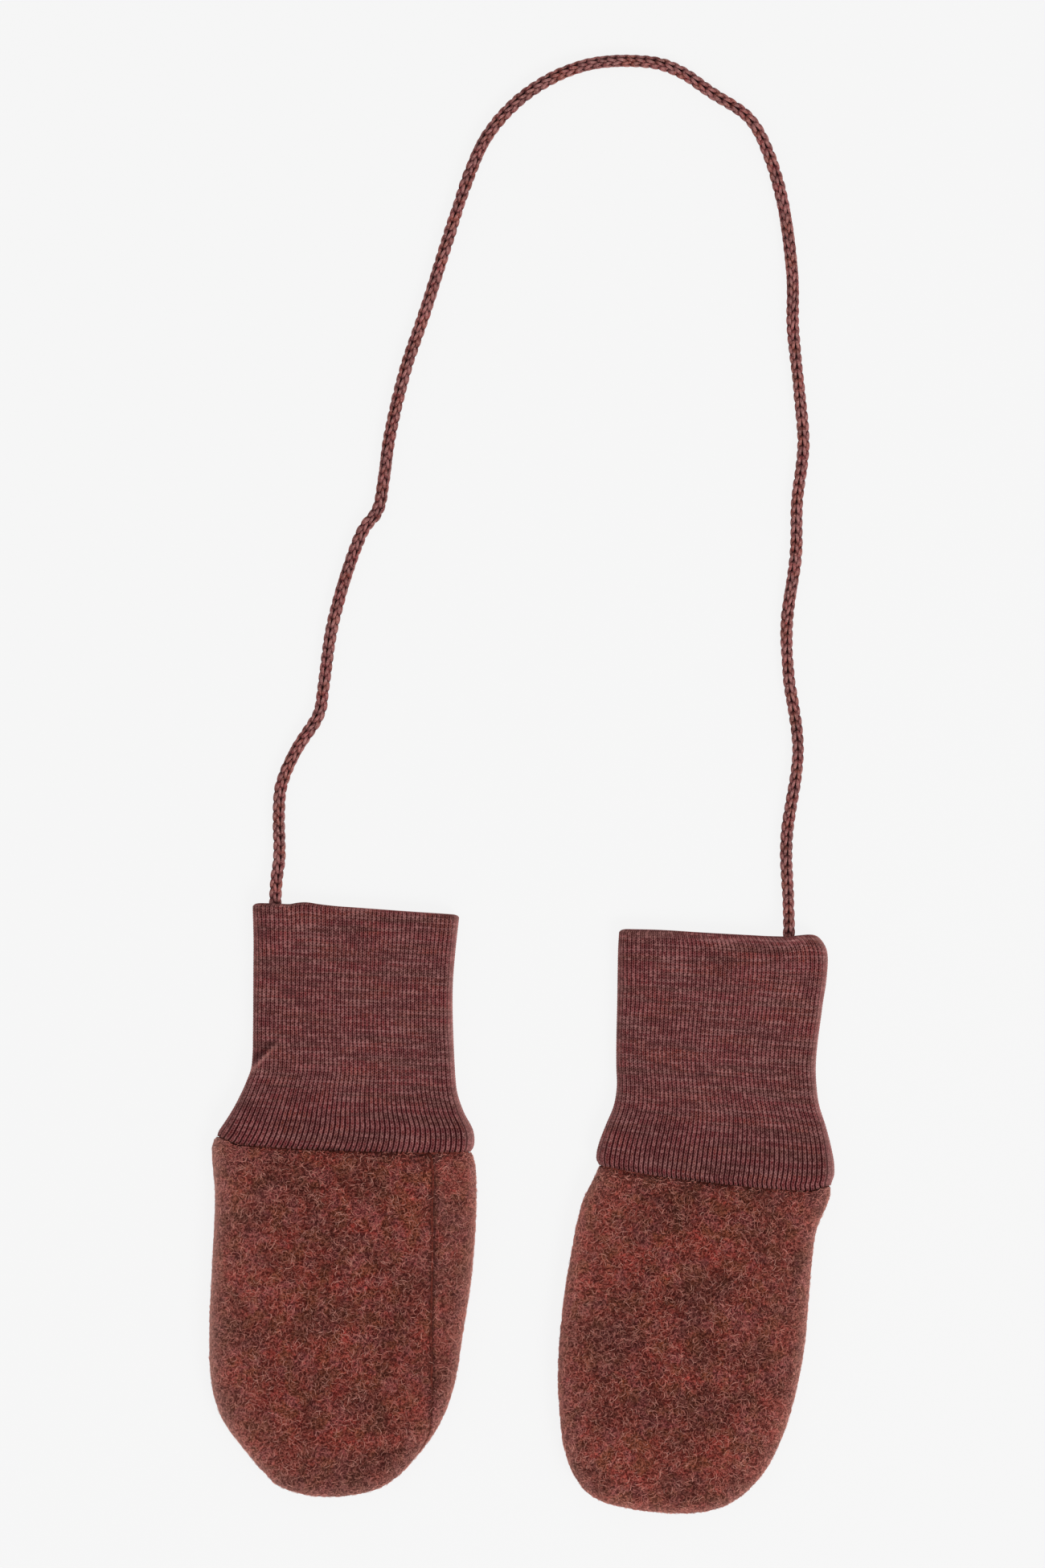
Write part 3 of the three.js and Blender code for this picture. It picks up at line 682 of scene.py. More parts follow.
def cuff_grid(mitten, up, over_top, depth):
    """Rings of a cuff at heights up and depths into its wall: round the left edge, across the top,
    round the right edge and back underneath, four columns a wale where they are raised. The fold's
    corners are arcs that reach to its lip's end, over_top past the heights. The relief of the
    stitches fades through the wall. Gives the points, each column's wale, and the creases' shade."""
    rows = mitten["cuff"]
    top = rows[-1][0]
    left, right, height = (soft_table(rows, k, up)[:, None] for k in (1, 2, 3))
    for (turn, drop), sign in zip(mitten["rounds"], (1, -1)):
        into = np.clip((up + over_top - top - CUFF_WALL / 2 + drop) / drop, 0, 1)[:, None]
        rounding = sign * turn * (1 - np.sqrt(1 - into**2 * ROUND_SHARE))
        left, right = (left + rounding, right) if sign > 0 else (left, right + rounding)
    half = height / 2
    edge = np.arange(1, 4 * EDGE_RIBS) / (4 * EDGE_RIBS)
    over = np.arange(0, 4 * TOP_RIBS + 1) / (4 * TOP_RIBS)
    wales = [edge * EDGE_RIBS, EDGE_RIBS + over * TOP_RIBS, EDGE_RIBS + TOP_RIBS + edge * EDGE_RIBS]
    wales = np.concatenate(wales)
    low_part = smooth(1 - up / RIBBED_HEIGHT)[:, None]
    quarter_wale = np.round(wales * 4).astype(int) % 4
    phase = (np.arange(len(up)) % 2)[:, None], quarter_wale[None, :]
    relief = (1 - depth / CUFF_WALL)[:, None]
    lowered = relief * ((1 - low_part) * PLAIN_RELIEF[phase] + low_part * RIBBED_RELIEF[phase])
    sunk = depth[:, None] - lowered
    n_edge = len(edge)
    n_over = len(over)
    angle = math.pi * (edge - 0.5)[None, :]
    radius_left = half - sunk[:, :n_edge]
    radius_right = half - sunk[:, n_edge + n_over :]
    x = np.concatenate(
        [
            left + half - radius_left * np.cos(angle),
            left + half + (right - left - 2 * half) * over[None, :],
            right - half + radius_right * np.cos(angle),
        ],
        axis=1,
    )
    z = np.concatenate(
        [
            half + radius_left * np.sin(angle),
            height - sunk[:, n_edge : n_edge + n_over],
            half - radius_right * np.sin(angle),
        ],
        axis=1,
    )
    lifts = np.concatenate([smooth(np.sin(angle[0])), np.ones(n_over), smooth(-np.sin(angle[0]))])[None, :]
    under = np.linspace(1, 0, UNDER_WALES + 1)[None, :]
    x = np.concatenate([x, left + half + (right - left - 2 * half) * under], axis=1)
    z = np.concatenate([z, np.broadcast_to(depth[:, None], (len(up), under.size))], axis=1)
    lifts = np.concatenate([lifts, np.zeros((1, under.size))], axis=1)
    level = np.broadcast_to(up[:, None], x.shape)
    valleys = np.concatenate([quarter_wale == 0, np.zeros(under.size, bool)])[None, :]
    rise = soft_table(mitten["mouth"], 1, x) * smooth((level - top + MOUTH_FADE) / MOUTH_FADE)
    ends = FINGER_END * np.maximum(0, 1 - level / FINGER_HEIGHT) * valleys
    y = level + SEAM_GAP / 2 + math.tan(math.radians(mitten["tilt"])) * x * level / top + rise + ends
    aside = np.abs(x - mitten["cord_x"]) / BULGE_HALF_WIDTH
    inside = 1 - np.maximum(0, np.minimum(1, (top - level - BULGE_FULL) / BULGE_FADE))
    lift = BULGE_LIFT * np.cos(np.minimum(1, aside) * math.pi / 2) ** 2 * inside
    shade = 0
    for crease in mitten["creases"]:
        height, tone = crease_share(crease, x, y)
        lift = lift + crease[4] * height
        shade = shade + smooth(crease[4] / FULL_CREASE) * tone * np.minimum(1, 3 * lifts)
    x = x + (in_plane(x * 0, y, SWAY_BY_HEIGHT) + in_plane(x, y, SWAY_BY_PLACE)) * lifts
    wale_at = np.concatenate([wales, wales[-1] + 0.5 + np.arange(UNDER_WALES + 1)])
    return settle(mitten, x, y, z + (lift + in_plane(x, y, SWELL)) * lifts), wale_at, shade


def cuff(mitten, node, material):
    """A cuff, closed: knit rows up the outside, over the fold at the mouth, and down the inside.
    The rows stand closer over CORNER_HEIGHT under the fold, for its round corners."""
    top = mitten["cuff"][-1][0]
    even = top - CORNER_HEIGHT
    up = np.linspace(0, even, int(round(even / COURSE * ROWS_A_COURSE)) + 1)
    closer = np.sin(np.arange(1, CORNER_ROWS + 1) / CORNER_ROWS * math.pi / 2)
    up = np.concatenate([up, even + CORNER_HEIGHT * closer])
    turn = math.pi * np.arange(1, LIP_ROWS + 1) / (LIP_ROWS + 1)
    down = np.linspace(top, 0, INSIDE_ROWS)
    level = np.concatenate([up, np.full(LIP_ROWS, top), down])
    depth = np.concatenate([up * 0, CUFF_WALL / 2 * (1 - np.cos(turn)), down * 0 + CUFF_WALL])
    over = np.concatenate([up * 0, CUFF_WALL / 2 * np.sin(turn), down * 0])
    grid, wale_at, shade = cuff_grid(mitten, level, over, depth)
    a = math.radians(mitten["turn"])
    grid = grid + over[:, None, None] * np.array([-math.sin(a), math.cos(a), 0])
    rows, columns = grid.shape[:2]
    quads = strips(rows, columns, True).reshape(-1, 4)
    last = (rows - 1) * columns
    c = np.arange(columns)
    n = (c + 1) % columns
    base = np.stack([last + c, last + n, n, c], -1)
    lip = top + LIP_COURSE_MM * np.arange(1, LIP_ROWS + 1)
    course = np.concatenate([up, lip, top + LIP_COURSE_MM * (LIP_ROWS + 1) + top - down]) / COURSE
    uv = np.stack(
        [np.broadcast_to(wale_at, (rows, columns)), np.broadcast_to(course[:, None], (rows, columns))], -1
    ).reshape(-1, 2)
    obj = piece(f"{node}_knit", grid.reshape(-1, 3), [quads, base], uv, material)
    # The fold attribute carries the creases' painted light and shade.
    fold = obj.data.attributes.new("fold", "FLOAT", "POINT")
    fold.data.foreach_set("value", shade.ravel())
    face_outwards(obj)
    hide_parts(node)
    return obj


# Cord

CORD_WALES = 4
CORD_PITCH = 2.9
YARN_RADIUS = 0.49
LEG_NODES = 8
CORE_RADIUS = 1.2
CORE_SIDES = 8
CORE_STEPS = 500
CORE_END = 1.0
FIRST_STITCH = 0.4
LAST_STITCH = 6.0
LEG_PITCHES = 1.42
LEG_SPREAD = 0.94
LEG_MIDDLE = 0.46
LEG_DIVE = 0.62


def cord_frames(line, at):
    """Points of the cord's line at lengths from its start, with directions ahead, aside and over."""
    length = np.concatenate([[0.0], np.cumsum(np.linalg.norm(np.diff(line, axis=0), axis=1))])
    spot = np.stack([np.interp(at, length, line[:, k]) for k in range(3)], -1)
    slope = np.gradient(line, length, axis=0)
    ahead = unit(np.stack([np.interp(at, length, slope[:, k]) for k in range(3)], -1))
    aside = unit(np.cross(np.array([0.0, 0.0, 1.0]), ahead))
    return spot, ahead, aside, np.cross(ahead, aside)


def cord(material):
    """The tubular knit: round the line stand chains of V stitches, each V two yarn legs that start
    together, lean apart as they rise, and dive under the next stitch of their chain. A plain dark
    tube closes the middle, a stand-in for the shade inside the cord."""
    rng = np.random.default_rng(SEED + 5)
    route = np.column_stack([CORD_ROUTE, np.full(len(CORD_ROUTE), CORD_ON_SURFACE)])
    ends = len(CORD_DESCENT)
    route[:ends, 2] = CORD_DESCENT
    route[-ends:, 2] = CORD_DESCENT[::-1]
    line = through(route, 0.0, 16)
    total = np.linalg.norm(np.diff(line, axis=0), axis=1).sum()
    stitches = int((total - 1.5 * CORD_PITCH) / CORD_PITCH)
    n, w, side = np.meshgrid(np.arange(stitches), np.arange(CORD_WALES), [-1, 1], indexing="ij")
    n, w, side = n.ravel(), w.ravel(), side.ravel()
    t = np.linspace(0, 1, LEG_NODES)[None, :]
    jitter = rng.normal(0, 0.07, (len(n), 1))
    start = (n * CORD_PITCH + FIRST_STITCH + (w % 2) * CORD_PITCH / 2)[:, None]
    start = start * (total - LAST_STITCH) / (stitches * CORD_PITCH)
    run = start + CORD_PITCH * LEG_PITCHES * t + jitter
    twist = 0.5 * np.sin(run / 37.0) + 0.35 * np.sin(run / 13.7 + 2.0) + 0.008 * run
    spread = math.pi / CORD_WALES * LEG_SPREAD * (0.16 + 0.84 * t**0.9)
    theta = twist + w[:, None] * 2 * math.pi / CORD_WALES + side[:, None] * spread
    radius = CORD_DIAMETER / 2 - YARN_RADIUS - LEG_DIVE * (2 * np.abs(t - LEG_MIDDLE)) ** 2.4 + 0.03
    spot, ahead, aside, over = cord_frames(line, run)
    path = spot + aside * (radius * np.cos(theta))[..., None] + over * (radius * np.sin(theta))[..., None]
    out = (path - spot)[:, LEG_NODES // 2]
    shape = 0.62 + 0.38 * np.sin(math.pi * np.linspace(0, 1, LEG_NODES)) ** 0.8
    thick = YARN_RADIUS * rng.uniform(0.93, 1.05, (len(n), 1))
    own = np.stack(np.broadcast_arrays(rng.random((len(n), 1)), t), -1)
    # The dark middle tube stands in for the shade inside the cord.
    spot, ahead, aside, over = cord_frames(line, np.linspace(CORE_END, total - CORE_END, CORE_STEPS))
    shade_core = (spot[:, None] + CORE_RADIUS * rings(aside, over, CORE_SIDES)).reshape(-1, 3)
    shade_core = shade_core, tube_faces(CORE_STEPS, CORE_SIDES), np.tile([-1.0, 0.5], (len(shade_core), 1))
    obj = tubes("cord_knit", path, thick, unit(out), 6, material, own, shape, shade_core)
    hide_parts("cord")
    at = np.linspace(0, total, 400)
    path = cord_frames(line, at)[0] * MM


# Shader helpers

def srgb(red, green, blue):
    """A colour read from a screen, 0 to 255, as linear light."""
    c = np.array([red, green, blue]) / 255
    c = np.where(c <= 0.04045, c / 12.92, ((c + 0.055) / 1.055) ** 2.4)
    return (*map(float, c), 1.0)


def put(tree, kind, inputs=None, **settings):
    """Adds a shader node, sets its fields, and sets or links its inputs by name or number."""
    node = tree.nodes.new(kind)
    for key, value in settings.items():
        setattr(node, key, value)
    for key, value in (inputs or {}).items():
        socket = node.inputs[key]
        if isinstance(value, bpy.types.NodeSocket):
            tree.links.new(value, socket)
        else:
            socket.default_value = value
    return node


def math_node(tree, operation, a, b=0.0):
    return put(tree, "ShaderNodeMath", {0: a, 1: b}, operation=operation).outputs[0]


def times(tree, a, b):
    return math_node(tree, "MULTIPLY", a, b)


def less(tree, a, b):
    return math_node(tree, "SUBTRACT", a, b)


def away(tree, value, middle):
    """How far a value is from a middle one, to either side."""
    return math_node(tree, "ABSOLUTE", less(tree, value, middle))


def mix(tree, share, a, b, blend="MIX"):
    """The first colour, with a share of the second laid over it or blended with it."""
    ends = {0: share, 6: a, 7: b}
    node = put(tree, "ShaderNodeMix", ends, data_type="RGBA", blend_type=blend, clamp_factor=True)
    return node.outputs[2]


def ramp(tree, value, low, high, out_low=0.0, out_high=1.0):
    """Eases from one result at low to the other at high, and holds them outside."""
    ends = {"Value": value, "From Min": low, "From Max": high, "To Min": out_low, "To Max": out_high}
    return put(tree, "ShaderNodeMapRange", ends, interpolation_type="SMOOTHSTEP").outputs[0]


def layered(tree, colour, layers):
    """Lays screen colours over one another. Each layer's share eases from 0 to its most as its
    value goes from its first number to its second."""
    for value, first, second, most, over in layers:
        colour = mix(tree, ramp(tree, value, first, second, 0.0, most), colour, srgb(*over))
    return colour


def noise(tree, vector, scale, detail=2.0, rough=0.5, distort=0.0):
    return put(
        tree,
        "ShaderNodeTexNoise",
        {"Vector": vector, "Scale": scale, "Detail": detail, "Roughness": rough, "Distortion": distort},
    ).outputs["Fac"]


def moved(tree, vector, shift, stretch=(1, 1, 1)):
    """A vector times its stretch plus its shift."""
    return put(tree, "ShaderNodeMapping", {"Vector": vector, "Location": shift, "Scale": stretch}).outputs[0]


def new_group(name, inputs, outputs):
    """An empty node group with named sockets; gives the tree and its input and output nodes."""
    tree = bpy.data.node_groups.new(name, "ShaderNodeTree")
    for label, kind, value in inputs:
        socket = tree.interface.new_socket(label, in_out="INPUT", socket_type=kind)
        if value is not None:
            socket.default_value = value
    for label, kind in outputs:
        tree.interface.new_socket(label, in_out="OUTPUT", socket_type=kind)
    return tree, tree.nodes.new("NodeGroupInput"), tree.nodes.new("NodeGroupOutput")


def use_group(tree, group, inputs):
    """A node that runs a group with those inputs."""
    return put(tree, "ShaderNodeGroup", inputs, node_tree=group)


def cloth_reading(tree):
    """The object's own coordinates, the cloth's UV, and the UV's two numbers."""
    coords = put(tree, "ShaderNodeTexCoord")
    uv = coords.outputs["UV"]
    split = put(tree, "ShaderNodeSeparateXYZ", {0: uv})
    return coords.outputs["Object"], uv, split.outputs[0], split.outputs[1]


# The wool's mixed colours: a ground with soft clouds of red, of pinkish grey and of brown, a
# fleck, and the grounds of the cuffs and the cord
RED = srgb(174, 48, 44)
ROSE_GREY = srgb(160, 78, 80)
BROWN = srgb(142, 70, 40)
GROUND = srgb(155, 57, 46)
BRIGHT_RED = srgb(196, 36, 46)
KNIT_GROUND = srgb(100, 46, 48)
YARN_GROUND = srgb(126, 76, 75)
SHEEN_ROUGHNESS = 0.28
WOOL_SPECULAR = 0.08


def melange_group():
    """Mixes the ground with three clouds of noise whose size is given in clouds a metre, adds a few
    bright red flecks, and then lightens and darkens it in larger soft patches."""
    inputs = [("Vector", "NodeSocketVector", None), ("Ground", "NodeSocketColor", GROUND)]
    for label, value in (("Clouds", 190.0), ("Strength", 1.0), ("Flecks", 0.6), ("Patches", 1.0)):
        inputs.append((label, "NodeSocketFloat", value))
    tree, given, result = new_group("wool_melange", inputs, [("Color", "NodeSocketColor")])
    colour = given.outputs["Ground"]
    for cloud_colour, shift, low, high, most in (
        (RED, (0.11, 0.03, 0.07), 0.5, 0.64, 0.62),
        (ROSE_GREY, (0.57, 0.31, 0.19), 0.48, 0.61, 0.85),
        (BROWN, (0.23, 0.71, 0.43), 0.49, 0.62, 0.93),
    ):
        at = moved(tree, given.outputs["Vector"], shift)
        cloud = noise(tree, at, given.outputs["Clouds"], 3.0, 0.48)
        share = times(tree, ramp(tree, cloud, low, high, 0.0, most), given.outputs["Strength"])
        colour = mix(tree, share, colour, cloud_colour)
    fleck = noise(tree, moved(tree, given.outputs["Vector"], (0.4, 0.8, 0.6)), 260.0, 2.0, 0.55)
    fleck = times(tree, ramp(tree, fleck, 0.66, 0.76, 0.0, 0.85), given.outputs["Flecks"])
    colour = mix(tree, fleck, colour, BRIGHT_RED)
    patch = noise(tree, moved(tree, given.outputs["Vector"], (0.9, 0.4, 0.2)), 75.0, 3.0, 0.62)
    tone = ramp(tree, patch, 0.34, 0.66, -0.52, 0.54)
    tone = math_node(tree, "ADD", 1.0, times(tree, tone, given.outputs["Patches"]))
    tone = put(tree, "ShaderNodeCombineColor", {0: tone, 1: tone, 2: tone}).outputs[0]
    tree.links.new(mix(tree, 1.0, colour, tone, "MULTIPLY"), result.inputs["Color"])
    return tree


def soft_surface(tree, colour, roughness, sheen, tint, height=None, strength=0.0, distance=0.0):
    """A matt, slightly downy shader for wool, with relief where it is given a height."""
    looks = {"Base Color": colour, "Roughness": roughness, "Sheen Weight": sheen, "Sheen Tint": srgb(*tint)}
    shader = put(
        tree,
        "ShaderNodeBsdfPrincipled",
        {**looks, "Sheen Roughness": SHEEN_ROUGHNESS, "Specular IOR Level": WOOL_SPECULAR},
    )
    if height is not None:
        bump = put(tree, "ShaderNodeBump", {"Height": height, "Strength": strength, "Distance": distance})
        tree.links.new(bump.outputs[0], shader.inputs["Normal"])
    put(tree, "ShaderNodeOutputMaterial", {"Surface": shader.outputs[0]})


def new_material(name):
    material = bpy.data.materials.new(name)
    material.use_nodes = True
    material.node_tree.nodes.clear()
    return material, material.node_tree


def strands(tree, at, scale, twist, wide):
    """Crooked fibre lines: 1 where soft noise passes its middle value, easing to 0 beside it."""
    field = noise(tree, at, scale, 1.0, 0.5, twist)
    return ramp(tree, away(tree, field, 0.5), 0.0, wide, 1.0, 0.0)


def tufts_group():
    """Painted shade between the felt's tufts, and light crooked bunches of fibre, partly their own
    tone and partly painted highlight.
    """
    tree, given, result = new_group(
        "wool_tufts",
        [("Vector", "NodeSocketVector", None)],
        [("Dark", "NodeSocketFloat"), ("Light", "NodeSocketFloat")],
    )
    at = given.outputs["Vector"]
    tufts = noise(tree, at, 900.0, 4.0, 0.7, 0.6)
    near = strands(tree, at, 900.0, 1.0, 0.11)
    far = strands(tree, moved(tree, at, (0.3, 0.7, 0.1)), 1500.0, 1.2, 0.13)
    dark = ramp(tree, tufts, 0.55, 0.38, 0.0, 1.0)
    lines = math_node(tree, "MAXIMUM", near, times(tree, far, 0.85))
    lines = times(tree, lines, less(tree, 1.0, times(tree, dark, 0.5)))
    light = math_node(tree, "MAXIMUM", lines, ramp(tree, tufts, 0.52, 0.7, 0.0, 0.9))
    tree.links.new(dark, result.inputs["Dark"])
    tree.links.new(light, result.inputs["Light"])
    return tree


def felt_colour(tree, melange, tufts, at, rim_sheen_and_strip_tone, pit_shade_share, tuft_share):
    """The melange as it shows on felt: painted shade in its pits, a lighter tone on its tufts that is
    partly their own and partly painted highlight, and painted highlight towards the outline. Gives
    the colour, its light and dark ends, the felt's height, and how strong the painted pit shade may be."""
    colour = use_group(tree, melange, {"Vector": at}).outputs["Color"]
    # Painted highlight towards the outline, with the palm strip's lighter tone.
    colour = mix(tree, times(tree, rim_sheen_and_strip_tone, 0.84), colour, srgb(238, 178, 166))
    felt_look = use_group(tree, tufts, {"Vector": at})
    # The light end is partly the tufts' own tone and partly painted highlight; the dark end is painted shade
    # for the pits.
    light = mix(tree, 0.62, colour, srgb(222, 146, 130))
    dark = mix(tree, 0.92, colour, srgb(52, 9, 7))
    # The painted pit shade is weaker towards the outline.
    pit_shade_scale = less(tree, 1.0, times(tree, rim_sheen_and_strip_tone, 0.4))
    shade = times(tree, felt_look.outputs["Dark"], times(tree, pit_shade_scale, pit_shade_share))
    shine = times(tree, felt_look.outputs["Light"], tuft_share)
    colour = mix(tree, shine, mix(tree, shade, colour, dark), light)
    height = less(tree, felt_look.outputs["Light"], felt_look.outputs["Dark"])
    return colour, light, dark, height, pit_shade_scale


def fleece_material(melange, tufts):
    """Felted fleece: melange clouds, painted shade in the pits between tufts, and light bunches of
    fibre, partly their own tone and partly painted highlight. The UV's first number says how near a
    seam a place is, where the pile sinks in and painted shade darkens it, and the second how strong
    the painted highlight towards the outline is, with the palm strip's lighter tone."""
    material, tree = new_material("wool_fleece")
    at, _, seam_shade_mask, rim_sheen_and_strip_tone = cloth_reading(tree)
    colour, _, dark, height, pit_shade_scale = felt_colour(tree, melange, tufts, at, rim_sheen_and_strip_tone, 0.9, 0.5)
    # Painted shade in fine pits, weaker towards the outline.
    fine = noise(tree, at, 1700.0, 2.0, 0.6, 0.6)
    colour = mix(tree, times(tree, ramp(tree, fine, 0.62, 0.42, 0.0, 0.9), pit_shade_scale), colour, dark)
    # Painted shade along the seams: a soft dark brown line with ragged edges.
    stray = times(tree, less(tree, noise(tree, at, 1100.0), 0.5), 1.1)
    seam_shade_mask = math_node(tree, "ADD", seam_shade_mask, stray)
    colour = layered(tree, colour, [(seam_shade_mask, 0.2, 0.9, 0.7, (58, 18, 12))])
    soft_surface(tree, colour, 0.95, 0.3, (255, 175, 160), height, 0.8, 0.0004)
    return material


def fibre_material(melange, tufts):
    """Loose wool fibres: the tufts' colours under them, with their painted shade and highlight,
    lightened or darkened at random by each fibre's own number, the UV's first."""
    material, tree = new_material("wool_fibres")
    at, _, own, rim_sheen_and_strip_tone = cloth_reading(tree)
    colour, light, dark, _, _ = felt_colour(tree, melange, tufts, at, rim_sheen_and_strip_tone, 0.75, 0.4)
    colour = mix(tree, ramp(tree, own, 0.3, 0.0, 0.0, 0.5), colour, dark)
    colour = mix(tree, ramp(tree, own, 0.3, 0.75), colour, light)
    # The fibres with the highest own numbers turn very light: partly paler fibres and partly painted
    # highlight.
    colour = layered(tree, colour, [(own, 0.8, 1.0, 0.6, (238, 178, 162))])
    soft_surface(tree, colour, 0.9, 0.15, (255, 180, 165))
    return material


def pit(tree, across, along, wide, tall, depth):
    """The painted shade of a hole in knit: depth at its middle, easing to 0 at that width and height from
    it.
    """
    a = math_node(tree, "POWER", math_node(tree, "DIVIDE", across, wide), 2.0)
    b = math_node(tree, "POWER", math_node(tree, "DIVIDE", along, tall), 2.0)
    return ramp(tree, math_node(tree, "ADD", a, b), 0.1, 1.0, depth, 0.0)


# Where the knit's looks change: courses up from the seam, and wales from the cuff's middle
RIBBED_COURSES = (34.0, 4.0)
MOUTH_COURSES = (88.0, 90.5)
EDGE_WALES = (22.0, 25.8)
EDGE_SHEEN_RIGHT_WALES = (WALE_MIDDLE - 10, WALE_MIDDLE + 10)


def knit_material(melange):
    """Fine knit read from the cloth's UV, in wales and courses: two leaning legs a stitch with a painted
    highlight on their crests, painted shade in the holes between them and in lines between the wales
    near the seam, a painted highlight towards the edges, and heather in streaks along the courses.
    The fold attribute holds painted light and shade for the creases."""
    material, tree = new_material("rib_knit")
    at, uv, wale, course = cloth_reading(tree)
    stray = put(tree, "ShaderNodeTexNoise", {"Vector": at, "Scale": 550.0, "Detail": 1.5}).outputs["Color"]
    sway = put(tree, "ShaderNodeSeparateXYZ", {0: stray})
    across = math_node(tree, "ADD", wale, times(tree, less(tree, sway.outputs[0], 0.5), 0.22))
    up = math_node(tree, "ADD", course, times(tree, less(tree, sway.outputs[1], 0.5), 0.6))
    rise = less(tree, math_node(tree, "FRACT", up), 0.5)
    side = away(tree, math_node(tree, "FRACT", across), 0.5)
    valley = less(tree, 0.5, side)
    middle = away(tree, side, times(tree, rise, 0.16))
    beat = math_node(tree, "ABSOLUTE", rise)
    low = ramp(tree, course, *RIBBED_COURSES)
    patchy = ramp(tree, noise(tree, at, 260.0, 2.0), 0.35, 0.65, 0.2, 0.55)
    patchy = math_node(tree, "MAXIMUM", patchy, times(tree, low, 0.4))
    # Painted shade in the knit's holes, and in lines along the valleys between the wales near the seam.
    line = times(tree, ramp(tree, valley, 0.25, 0.08), ramp(tree, low, 0.0, 1.0, 0.65, 1.0))
    hole = pit(tree, valley, less(tree, 0.5, beat), 0.32, 0.47, 0.95)
    hole = math_node(tree, "MAXIMUM", hole, times(tree, pit(tree, middle, beat, 0.2, 0.42, 1.0), patchy))
    hole = math_node(tree, "MAXIMUM", hole, line)
    # Towards the cuff's edges the painted hole shade is weaker.
    edge = ramp(tree, away(tree, wale, WALE_MIDDLE), *EDGE_WALES)
    hole = times(tree, hole, less(tree, 1.0, times(tree, edge, 0.5)))
    hole = times(tree, hole, ramp(tree, course, *MOUTH_COURSES, 1.0, 0.5))
    leg = math_node(tree, "FLOOR", times(tree, across, 2.0))
    cell = put(tree, "ShaderNodeCombineXYZ", {0: leg, 1: math_node(tree, "FLOOR", up)}).outputs[0]
    chance = put(tree, "ShaderNodeTexWhiteNoise", {"Vector": cell}, noise_dimensions="2D").outputs[0]
    # Painted highlight along the crests of the legs.
    crest = ramp(tree, away(tree, middle, 0.27), 0.13, 0.0)
    thin = noise(tree, moved(tree, uv, (0.0, 0.0, 0.0), (0.085, 0.8, 1.0)), 1.0, 2.0, 0.6)
    broad = noise(tree, moved(tree, uv, (7.3, 2.1, 0.0), (0.045, 0.28, 1.0)), 1.0, 3.0, 0.6)
    wide = moved(tree, at, (0, 0, 0), (0.35, 1, 1))
    heather = {"Vector": wide, "Clouds": 240.0, "Strength": 0.34, "Flecks": 0.3, "Patches": 0.3}
    colour = use_group(tree, melange, {**heather, "Ground": KNIT_GROUND}).outputs["Color"]
    layers = [
        (broad, 0.5, 0.62, 0.7, (84, 58, 50)),
        (broad, 0.5, 0.38, 0.5, (124, 42, 50)),
        (thin, 0.5, 0.66, 0.7, (162, 112, 110)),
        (thin, 0.5, 0.34, 0.6, (68, 26, 28)),
        (chance, 0.5, 1.0, 0.4, (200, 138, 134)),
        (chance, 0.5, 0.0, 0.35, (58, 16, 20)),
    ]
    colour = layered(tree, colour, layers)
    colour = mix(tree, times(tree, crest, 0.6), colour, srgb(192, 130, 126))
    colour = mix(tree, times(tree, low, 0.1), colour, srgb(66, 24, 26))
    colour = mix(tree, hole, colour, srgb(54, 11, 15))
    # Painted highlight towards the cuff's edges, stronger towards the right.
    pale = times(tree, edge, ramp(tree, wale, *EDGE_SHEEN_RIGHT_WALES, 0.12, 0.36))
    colour = mix(tree, pale, colour, srgb(222, 164, 158))
    # Painted light on the crease ridges and painted shade in their valleys.
    fold = put(tree, "ShaderNodeAttribute", attribute_name="fold").outputs["Fac"]
    fold_light_and_shade = [(fold, 0.0, -1.0, 0.6, (58, 16, 24)), (fold, 0.0, 1.0, 0.4, (204, 140, 132))]
    colour = layered(tree, colour, fold_light_and_shade)
    height = less(tree, times(tree, crest, 0.5), hole)
    soft_surface(tree, colour, 0.95, 0.25, (255, 185, 180), height, 0.8, 0.0003)
    return material


def yarn_material(melange):
    """Plied wool yarn in heather colours. The UV's first number is each leg's own, or below zero in
    the cord's middle, a dark tube of painted shade, and the second runs along the leg, which has a
    painted highlight at its middle and painted shade where it dives under."""
    material, tree = new_material("cord_yarn")
    at, _, own, run = cloth_reading(tree)
    heather = {"Vector": at, "Clouds": 260.0, "Strength": 0.4, "Flecks": 0.3, "Patches": 0.3}
    colour = use_group(tree, melange, {**heather, "Ground": YARN_GROUND}).outputs["Color"]
    fine = noise(tree, at, 2200.0, 3.0, 0.6, 0.6)
    off = away(tree, run, 0.5)
    layers = [
        (fine, 0.5, 0.3, 0.7, (60, 26, 30)),
        (fine, 0.5, 0.7, 0.75, (200, 148, 140)),
        (own, 0.5, 1.0, 0.35, (172, 116, 112)),
        (own, 0.4, 0.0, 0.35, (78, 38, 38)),
        # Painted highlight at each leg's middle, and painted shade at its ends, where it dives under.
        (off, 0.2, 0.0, 0.22, (206, 158, 150)),
        (off, 0.18, 0.42, 0.92, (38, 10, 13)),
    ]
    colour = layered(tree, colour, layers)
    # The middle tube is painted shade, near black.
    colour = mix(tree, math_node(tree, "LESS_THAN", own, -0.5), colour, srgb(28, 7, 10))
    soft_surface(tree, colour, 0.9, 0.1, (255, 190, 190), fine, 0.6, 0.0002)
    return material


def thread_and_shade_material():
    """The seam's dark wool thread, partly the sewing and partly painted shade in the grooves."""
    material, tree = new_material("seam_thread_and_shade")
    at = put(tree, "ShaderNodeTexCoord").outputs["Object"]
    fine = noise(tree, at, 2400.0, 2.0, 0.6)
    colour = mix(tree, ramp(tree, fine, 0.35, 0.65), srgb(66, 24, 18), srgb(124, 60, 50))
    soft_surface(tree, colour, 0.9, 0.1, (255, 210, 200))
    return material


